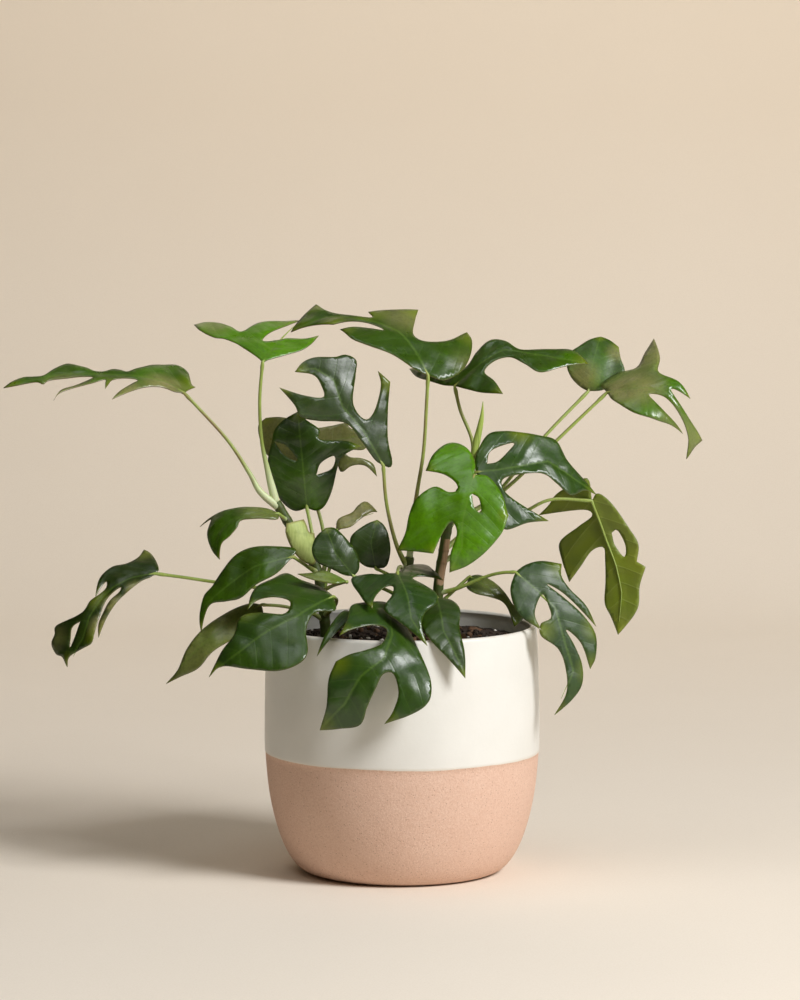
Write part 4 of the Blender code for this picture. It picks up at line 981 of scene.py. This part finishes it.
def relief(surface, seed, u, v, edge):
    """How far, in millimetres, the blade's surface stands out at a point: sunk along the
    midrib, puffed up between the side veins, and waved towards the margin."""
    across = v - surface.rib_at(u)
    reach = abs(across)
    groove = -GROOVE_DEPTH * math.exp(-((across * surface.length / GROOVE_WIDTH) ** 2))
    order = u - VEIN_SLANT * reach - VEIN_CURVE * reach**2
    patchy = 0.6 + 0.8 * noise.noise(Vector((u * 5, v * 5, seed * 1.7)))
    puff = PUFF_HEIGHT * patchy * math.cos(2 * math.pi * SIDE_VEINS * order)
    puff *= min(1.0, reach / 0.05)
    puff *= min(1.0, edge / 0.04)
    calm = max(0.0, 1 - u**4)
    wave = noise.noise(Vector((u * 3.2 + seed * 7.1, v * 3.2, seed * 3.3)))
    return groove - puff + WAVE_HEIGHT * wave * min(1.0, reach * 2.6) * calm


def blade_points(surface, cell):
    """The blade's points in (u, v), its edges, and its loops: the outline and the windows."""
    leaf = surface.leaf
    step = cell * 0.85
    loops = [closed_loop((0.0, 0.0), leaf.outline, step)]
    loops += [closed_loop(window[0], window[1:], step) for window in leaf.windows]
    ring = [point for loop in loops for point in loop]
    edges = []
    for loop in loops:
        first = len(edges)
        edges += [(first + i, first + (i + 1) % len(loop)) for i in range(len(loop))]
    low = np.min([tuple(p) for p in ring], axis=0)
    high = np.max([tuple(p) for p in ring], axis=0)
    rows = np.arange(low[1], high[1], cell * 0.87)
    grid = []
    for i, row in enumerate(rows):
        shift = cell / 2 * (i % 2)
        grid += [(column + shift, row) for column in np.arange(low[0], high[0], cell)]
    grid = np.array(grid)
    grid = grid[inside(grid, loops)]
    grid = grid[nearest(grid, ring) > cell * 0.55]
    spine = np.array([(u, surface.rib_at(u)) for u in np.arange(cell, 1.0, cell * 0.8)])
    spine = spine[inside(spine, loops)]
    spine = spine[nearest(spine, ring) > cell * 0.5]
    if len(spine):
        grid = grid[nearest(grid, spine) > cell * 0.5]
        grid = np.concatenate([grid, spine])
    return ring + [Vector(p) for p in grid], edges, loops


def blade_mesh(leaf, seed, fresh, pink):
    """The blade as one sheet of triangles, with what its material reads at each point."""
    surface = BladeSurface(leaf)
    points, edges, loops = blade_points(surface, BLADE_CELL / surface.length)
    flat, _, faces, _, _, _ = delaunay_2d_cdt(points, edges, [], 0, 1e-7)
    spots = np.array([tuple(p) for p in flat])
    centres = np.array([spots[list(face)].mean(axis=0) for face in faces])
    kept = [tuple(face) for face, good in zip(faces, inside(centres, loops)) if good]
    used = sorted({i for face in kept for i in face})
    index = {old: new for new, old in enumerate(used)}
    spots = spots[used]
    edge = nearest(spots, [point for loop in loops for point in loop])
    tip_gap = nearest(spots, [knot[:2] for knot in leaf.outline if len(knot) == 3])
    places = [
        surface.at(u, v, relief(surface, seed, u, v, gap)) for (u, v), gap in zip(spots, edge)
    ]
    mesh = smooth_mesh(leaf.name, places, [tuple(index[i] for i in face) for face in kept])
    across = [v - surface.rib_at(u) for u, v in spots]
    keep_numbers(mesh, "blade", np.column_stack([spots[:, 0], across, edge]))
    pale = np.zeros(len(spots))
    for u, v, reach, strength in PATCHES.get(leaf.name, []):
        gap = np.hypot(spots[:, 0] - u, spots[:, 1] - v)
        pale = np.maximum(pale, strength * np.clip(1.5 - gap / reach, 0, 1))
    keep_numbers(mesh, "look", np.column_stack([tip_gap, np.full(len(spots), fresh), pale]))
    # The third number is painted shade, which darkens the leaves that lie in shadow.
    flush = (pink, DULL.get(leaf.name, 0.0), PAINTED_SHADE.get(leaf.name, 0.0))
    keep_numbers(mesh, "flush", np.tile(flush, (len(spots), 1)))
    if sum(polygon.normal.dot(surface.up) for polygon in mesh.polygons) < 0:
        mesh.flip_normals()
    return mesh


def smooth_mesh(name, points, faces):
    mesh = bpy.data.meshes.new(name)
    mesh.from_pydata(points, [], faces)
    mesh.shade_smooth()
    return mesh


def mesh_of(name, work):
    """The mesh that a bmesh has been working on, which is then freed."""
    mesh = bpy.data.meshes.new(name)
    work.to_mesh(mesh)
    work.free()
    return mesh


def keep_numbers(mesh, name, rows):
    """Keeps three numbers at each of a mesh's points, for its material to read."""
    layer = mesh.attributes.new(name, "FLOAT_VECTOR", "POINT")
    layer.data.foreach_set("vector", np.asarray(rows, dtype=np.float32).ravel())


def in_scene(name, data):
    obj = bpy.data.objects.new(name, data)
    bpy.context.scene.collection.objects.link(obj)
    return obj


def show(name, mesh, materials):
    """A mesh as a piece of the plant that rides on its one body."""
    for material in materials:
        mesh.materials.append(material)
    obj = in_scene(name, mesh)
    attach(obj, "root")
    return obj


def thicken(obj, thickness):
    """Gives a blade its thickness, with its second material below and its third on the rim."""
    solidify = obj.modifiers.new("Thickness", "SOLIDIFY")
    solidify.thickness = thickness
    solidify.offset = 0.0
    solidify.material_offset = 1
    solidify.material_offset_rim = 2


# ---------------------------------------------------------------- stalks and vines


def swept(name, path, radii, sides, numbers, groove=0.0, first_up=(0, 0, 1)):
    """A tube along a path with a radius at each point and a groove along its upper side.
    numbers gives the three numbers kept at a point from how far along and round it is."""
    rings = []
    rows = []
    travelled = 0.0
    up = Vector(first_up)
    for i, (place, radius) in enumerate(zip(path, radii)):
        tangent = (path[min(i + 1, len(path) - 1)] - path[max(i - 1, 0)]).normalized()
        up = (up - tangent * up.dot(tangent)).normalized()
        side = tangent.cross(up)
        if i:
            travelled += (place - path[i - 1]).length
        ring = []
        for j in range(sides):
            angle = 2 * math.pi * j / sides
            off = min(angle, 2 * math.pi - angle)
            reach = radius * (1 - groove * math.exp(-((off / 0.5) ** 2)))
            ring.append(place + (up * math.cos(angle) + side * math.sin(angle)) * reach)
            rows.append(numbers(travelled, j / sides))
        rings.append(ring)
    points = [point for ring in rings for point in ring] + [path[0], path[-1]]
    rows += [numbers(0.0, 0.0), numbers(travelled, 0.0)]
    faces = []
    for i in range(len(rings) - 1):
        for j in range(sides):
            a, b = i * sides + j, i * sides + (j + 1) % sides
            faces.append((a, a + sides, b + sides, b))
    last = (len(rings) - 1) * sides
    for j in range(sides):
        faces.append((len(points) - 2, j, (j + 1) % sides))
        faces.append((len(points) - 1, last + (j + 1) % sides, last + j))
    mesh = smooth_mesh(name, points, faces)
    keep_numbers(mesh, "along", rows)
    return mesh


def vine_path(vine, pieces):
    return smooth_through([on_plan(*point) for point in vine.points], pieces)


def vine_at(vine, height):
    """The vine's axis at a plan height, or its upper end if the height is above it."""
    path = vine_path(vine, 8)
    level = POT_HEIGHT + height * MM
    for low, high in zip(path, path[1:]):
        if low.z <= level <= high.z:
            return low.lerp(high, (level - low.z) / (high.z - low.z))
    return path[-1]


def build_stalk(leaf, seed, root_radius, pink, skin):
    """The stalk from inside the vine to the blade, and on under it as the midrib."""
    surface = BladeSurface(leaf)
    root = vine_at(leaf.vine, leaf.height)
    bends = [on_plan(*point) for point in leaf.stalk]
    knots = [root] + bends + [surface.at(0.0, 0.0, -0.5)]
    stem = evenly(smooth_through(knots, 10), 1.6 * MM)
    rib = [surface.at(u, surface.rib_at(u), RIB_LIFT) for u in np.arange(0.04, 0.93, 0.03)]
    radii = []
    for i in range(len(stem)):
        share = i / (len(stem) - 1)
        flare = math.exp(-((share / 0.26) ** 2)) * (root_radius - STALK_RADIUS)
        knee = STALK_KNEE * math.exp(-(((share - 0.965) / 0.02) ** 2))
        radii.append((STALK_RADIUS - STALK_TAPER * share + flare + knee) * MM)
    radii += [(RIB_RADIUS - RIB_TAPER * i / (len(rib) - 1)) * MM for i in range(len(rib))]
    first = noise.noise(Vector((seed, 0.3, 0.7)))
    pale_length = 0.040 if root_radius > STOUT_ROOT else 0.007

    def numbers(travelled, turn):
        return travelled / pale_length, (turn + first) % 1.0, 0.35 + 0.6 * pink

    mesh = swept(leaf.name + "_stalk", stem + rib, radii, 14, numbers, 0.16)
    show(leaf.name + "_stalk", mesh, [skin])


def build_leaf(leaf, seed, blade_skins, stalk):
    fresh, pink, root_radius = LOOKS[leaf.name]
    blade = show(leaf.name + "_blade", blade_mesh(leaf, seed, fresh, pink), blade_skins)
    thicken(blade, BLADE_THICKNESS)
    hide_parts(leaf.name)
    build_stalk(leaf, seed, root_radius, pink, stalk)


def build_vine(vine, skin, sheath=NO_SHEATH):
    """A vine swollen and ringed where each leaf leaves it, in a dry sheath between two heights."""
    path = evenly(vine_path(vine, 12), 0.8 * MM)
    path[0].z += 0.3 * MM
    nodes = [leaf.height for leaf in LEAVES if leaf.vine is vine and leaf.height < 100]

    def ring_at(z):
        height = (z - POT_HEIGHT) / MM
        return max(math.exp(-(((height - node) / NODE_WIDTH) ** 2)) for node in nodes)

    radii = []
    for i, place in enumerate(path):
        share = i / len(path)
        ripple = 1 + 0.04 * noise.noise(place * 160)
        radius = VINE_RADIUS * (1.05 - 0.1 * share) * ripple
        radii.append((radius + NODE_SWELL * ring_at(place.z)) * MM)
    radii[0] *= 0.9
    radii[-1] *= 0.85
    heights = [place.z for place in path]
    lengths = np.cumsum([0.0] + [(b - a).length for a, b in zip(path, path[1:])])

    def numbers(travelled, turn):
        z = float(np.interp(travelled, lengths, heights))
        height = (z - POT_HEIGHT) / MM
        depth = min(height - sheath[0], sheath[1] - height)
        return ring_at(z), min(1.0, max(0.0, depth / 4)), turn

    mesh = swept(vine.name, path, radii, 20, numbers, first_up=(-1, 0, 0))
    vine_piece = show(vine.name + "_stem", mesh, [skin])
    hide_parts(vine.name)


def build_bract(skin):
    mesh = blade_mesh(BRACT, 4.2, 0.8, 0.4)
    bract = show("bract_left_blade", mesh, [skin, skin, skin])
    thicken(bract, BLADE_THICKNESS)
    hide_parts("bract_left")


def build_spear(skin):
    """The youngest leaf, still rolled up."""
    path = evenly(smooth_through([on_plan(*point) for point in SPEAR], 10), 1.2 * MM)
    at = np.linspace(0, 1, len(SPEAR_RADII))
    radii = [float(np.interp(i / (len(path) - 1), at, SPEAR_RADII)) * MM for i in range(len(path))]
    mesh = swept("spear", path, radii, 18, lambda travelled, turn: (travelled, turn, 0.0), 0.14)
    spear = show("leaf_spear_roll", mesh, [skin])
    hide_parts("leaf_spear")


# ---------------------------------------------------------------- the pot and its soil


def wall_radius(z):
    """The pot's outer radius at a height: a quarter-ellipse belly, then a slight taper."""
    if z < BELLY_HEIGHT:
        share = math.sqrt(max(0.0, 1 - (1 - z / BELLY_HEIGHT) ** 2))
        return FOOT_RADIUS + (RIM_RADIUS + BELLY_SWELL - FOOT_RADIUS) * share
    share = (z - BELLY_HEIGHT) / (POT_HEIGHT - BELLY_HEIGHT)
    return RIM_RADIUS + BELLY_SWELL * (1 - share**2)


def pot_profile():
    """(radius, height, how much glaze) from the foot's centre, up the outside, over the lip
    and down the inside. The glaze stands a little proud of the clay."""
    rows = [(r, 0.0, 0) for r in (0.0, 0.02, 0.04, 0.052, FOOT_RADIUS - FOOT_FLAT)]
    first = 0.0004
    raw = np.linspace(0, 1, 46)[1:] ** 2 * (GLAZE_LINE - GLAZE_EDGE)
    for z in [first] + [z for z in raw if z >= first]:
        rounding = FOOT_ROUNDING * max(0.0, 1 - z / FOOT_ROUNDED_TO) ** 2
        rows.append((wall_radius(z) - GLAZE_THICKNESS - rounding, z, 0))
    reach = POT_WALL / 2
    lip_z = POT_HEIGHT - reach
    rows += [(wall_radius(z), z, 1) for z in np.linspace(GLAZE_LINE, lip_z, 44)]
    centre = wall_radius(lip_z) - reach
    for degrees in range(12, 180, 12):
        angle = math.radians(degrees)
        rows.append((centre + reach * math.cos(angle), lip_z + reach * math.sin(angle), 1))
    for z in np.linspace(lip_z, INNER_BEND, 34):
        rows.append((wall_radius(z - POT_FLOOR) - POT_WALL, z, 1))
    for share in (0.9, 0.6, 0.3, 0.0):
        radius = wall_radius(INNER_BEND - POT_FLOOR) * share
        rows.append((radius, POT_FLOOR + INNER_RISE * share**4, 1))
    return rows


def build_pot(glazed, raw):
    """The pot, turned from its profile, with a faint wobble and an uneven edge to the glaze."""
    steps = POT_STEPS
    rows = pot_profile()
    mesh = bmesh.new()
    rings = []
    for radius, z, _ in rows:
        if radius < 1e-6:
            rings.append([mesh.verts.new((0, 0, z))])
            continue
        ring = []
        for j in range(steps):
            angle = 2 * math.pi * j / steps
            out = Vector((math.cos(angle), math.sin(angle), 0))
            level = z
            if abs(z - GLAZE_LINE) < 0.0012:
                level += 0.0007 * noise.noise(out * 1.7) + 0.0002 * noise.noise(out * 9)
            wobble = 0.00012 * noise.noise(Vector((out.x, out.y, z * 30)) * 1.6) - 0.00012
            ring.append(mesh.verts.new(out * (radius + wobble) + Vector((0, 0, level))))
        rings.append(ring)
    for row, (low, high) in enumerate(zip(rings, rings[1:])):
        for j in range(steps):
            k = (j + 1) % steps
            if len(low) == 1:
                face = mesh.faces.new((low[0], high[k], high[j]))
            elif len(high) == 1:
                face = mesh.faces.new((low[j], low[k], high[0]))
            else:
                face = mesh.faces.new((low[j], low[k], high[k], high[j]))
            face.material_index = 0 if rows[row][2] and rows[row + 1][2] else 1
            face.smooth = True
    bmesh.ops.recalc_face_normals(mesh, faces=mesh.faces)
    pot = show("pot_body", mesh_of("pot", mesh), [glazed, raw])
    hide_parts("pot")


def build_soil(skin):
    """The soil: lumpy on top, following the pot's wall below."""
    steps = SOIL_STEPS
    mesh = bmesh.new()
    top = [(r, SOIL_HEIGHT) for r in np.linspace(0.0016, SOIL_RADIUS, 52)]
    side = [(wall_radius(z - POT_FLOOR) - POT_WALL - 0.0005, z) for z in (0.146, 0.12, 0.08, 0.04)]
    rings = []
    for radius, z in top + side + [(0.05, 0.011)]:
        ring = []
        for j in range(steps):
            angle = 2 * math.pi * j / steps
            place = Vector((radius * math.cos(angle), radius * math.sin(angle), z))
            if z == SOIL_HEIGHT:
                lumps = noise.fractal(place * 140, 1.0, 2.1, 4) * 1.3 - 1.1
                place.z += lumps * MM + 0.0012 * (radius / SOIL_RADIUS) ** 6
            ring.append(mesh.verts.new(place))
        rings.append(ring)
    for low, high in zip(rings, rings[1:]):
        for j in range(steps):
            k = (j + 1) % steps
            mesh.faces.new((low[j], low[k], high[k], high[j])).smooth = True
    mesh.faces.new(rings[0])
    mesh.faces.new(rings[-1])
    bmesh.ops.recalc_face_normals(mesh, faces=mesh.faces)
    soil = show("soil_mix", mesh_of("soil", mesh), [skin])
    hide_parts("soil")


def scatter(name, count, sizes, squash, skin, detail, seed):
    """Crumbs strewn over the soil, clear of the vines, each a lump of its own shape."""
    rng = random.Random(seed)
    feet = [Vector(vine.points[0][:2]) for vine in (LEFT, CENTRE, RIGHT)]
    mesh = bmesh.new()
    for _ in range(count):
        radius = CRUMB_RADIUS * math.sqrt(rng.random())
        angle = rng.random() * 2 * math.pi
        spot = Vector((radius * math.cos(angle), radius * math.sin(angle)))
        size = rng.uniform(*sizes)
        if min((spot - foot).length for foot in feet) < VINE_RADIUS + size + 1:
            continue
        if radius + size > CRUMB_LIMIT:
            continue
        lump = bmesh.ops.create_icosphere(mesh, subdivisions=detail, radius=size * MM / 2)
        turn = Matrix.Rotation(rng.random() * 6.28, 3, Vector((rng.random(), rng.random(), 1)))
        stretch = Vector((rng.uniform(0.8, squash), rng.uniform(0.7, 1.1), rng.uniform(0.45, 0.8)))
        offset = rng.random() * 50
        sink = rng.uniform(-0.6, 0.25) * size * 0.3
        centre = Vector((spot.x, spot.y, 0)) * MM + Vector((0, 0, SOIL_HEIGHT + sink * MM))
        for vert in lump["verts"]:
            rough = 1 + 0.35 * noise.noise(vert.co * 900 + Vector((offset, offset, 0)))
            local = Vector(vert.co[i] * stretch[i] * rough for i in range(3))
            vert.co = centre + turn @ local
    for face in mesh.faces:
        face.smooth = detail > 1
    show(name, mesh_of(name, mesh), [skin])


# ---------------------------------------------------------------- the studio


def build_backdrop(skin):
    """A pale paper sweep: floor, a wide curve and a wall."""
    line = [(SWEEP_FRONT, 0.0), (SWEEP_CURVE, 0.0)]
    for degrees in range(6, 91, 6):
        angle = math.radians(degrees)
        away = SWEEP_CURVE + SWEEP_RADIUS * math.sin(angle)
        line.append((away, SWEEP_RADIUS - SWEEP_RADIUS * math.cos(angle)))
    line.append((SWEEP_CURVE + SWEEP_RADIUS, SWEEP_TOP))
    points = [(x, y, z - SWEEP_DROP) for y, z in line for x in SWEEP_SIDES]
    faces = [(2 * i, 2 * i + 1, 2 * i + 3, 2 * i + 2) for i in range(len(line) - 1)]
    mesh = smooth_mesh("backdrop", points, faces)
    mesh.materials.append(skin)
    in_scene("backdrop", mesh)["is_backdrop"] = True


def add_light(name, place, target, size, power, colour):
    data = bpy.data.lights.new(name, "AREA")
    data.shape = "RECTANGLE"
    data.size, data.size_y = size
    data.energy = power
    data.color = colour
    light = in_scene(name, data)
    light.location = place
    light.rotation_euler = (Vector(target) - Vector(place)).to_track_quat("-Z", "Y").to_euler()


def build_studio():
    scene = bpy.context.scene
    build_backdrop(paper_sweep())
    for name, settings in LIGHTS.items():
        add_light(name, *settings)
    world = bpy.data.worlds.new("studio")
    world.use_nodes = True
    background = world.node_tree.nodes["Background"]
    background.inputs["Color"].default_value = WORLD_COLOUR
    background.inputs["Strength"].default_value = WORLD_STRENGTH
    scene.world = world
    scene.view_settings.view_transform = "Standard"
    scene.view_settings.look = "None"
    scene.view_settings.exposure = 0.0


def build_camera():
    data = bpy.data.cameras.new("camera")
    data.sensor_fit = "VERTICAL"
    data.sensor_height = CAMERA_SENSOR
    data.lens = CAMERA_LENS
    camera = in_scene("camera", data)
    camera.location = CAMERA_PLACE
    camera.rotation_euler = (math.radians(90 - CAMERA_TILT), 0, 0)
    bpy.context.scene.camera = camera


def build_plant():
    stalk = stalk_skin()
    blade_skins = [leaf_upper(), leaf_under(), leaf_rim()]
    for seed, leaf in enumerate(LEAVES):
        build_leaf(leaf, seed + 1.5, blade_skins, stalk)
    skin = vine_skin()
    build_vine(LEFT, skin)
    build_vine(CENTRE, skin)
    build_vine(RIGHT, skin, DRY_SHEATH)
    build_bract(paper_skin())
    build_spear(spear_skin())


build_pot(glaze(), clay())
build_soil(earth())
scatter("soil_crumbs", 620, (1.4, 4.6), 1.5, earth(), 1, 5)
scatter("bark_chips", 90, (3.0, 7.0), 1.9, bark(), 2, 6)
scatter("perlite", 85, (1.4, 3.8), 1.2, perlite(), 2, 7)
build_plant()
build_studio()
build_camera()

boxes = [[list(corner) for corner in box] for box in (cad_box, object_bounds())]
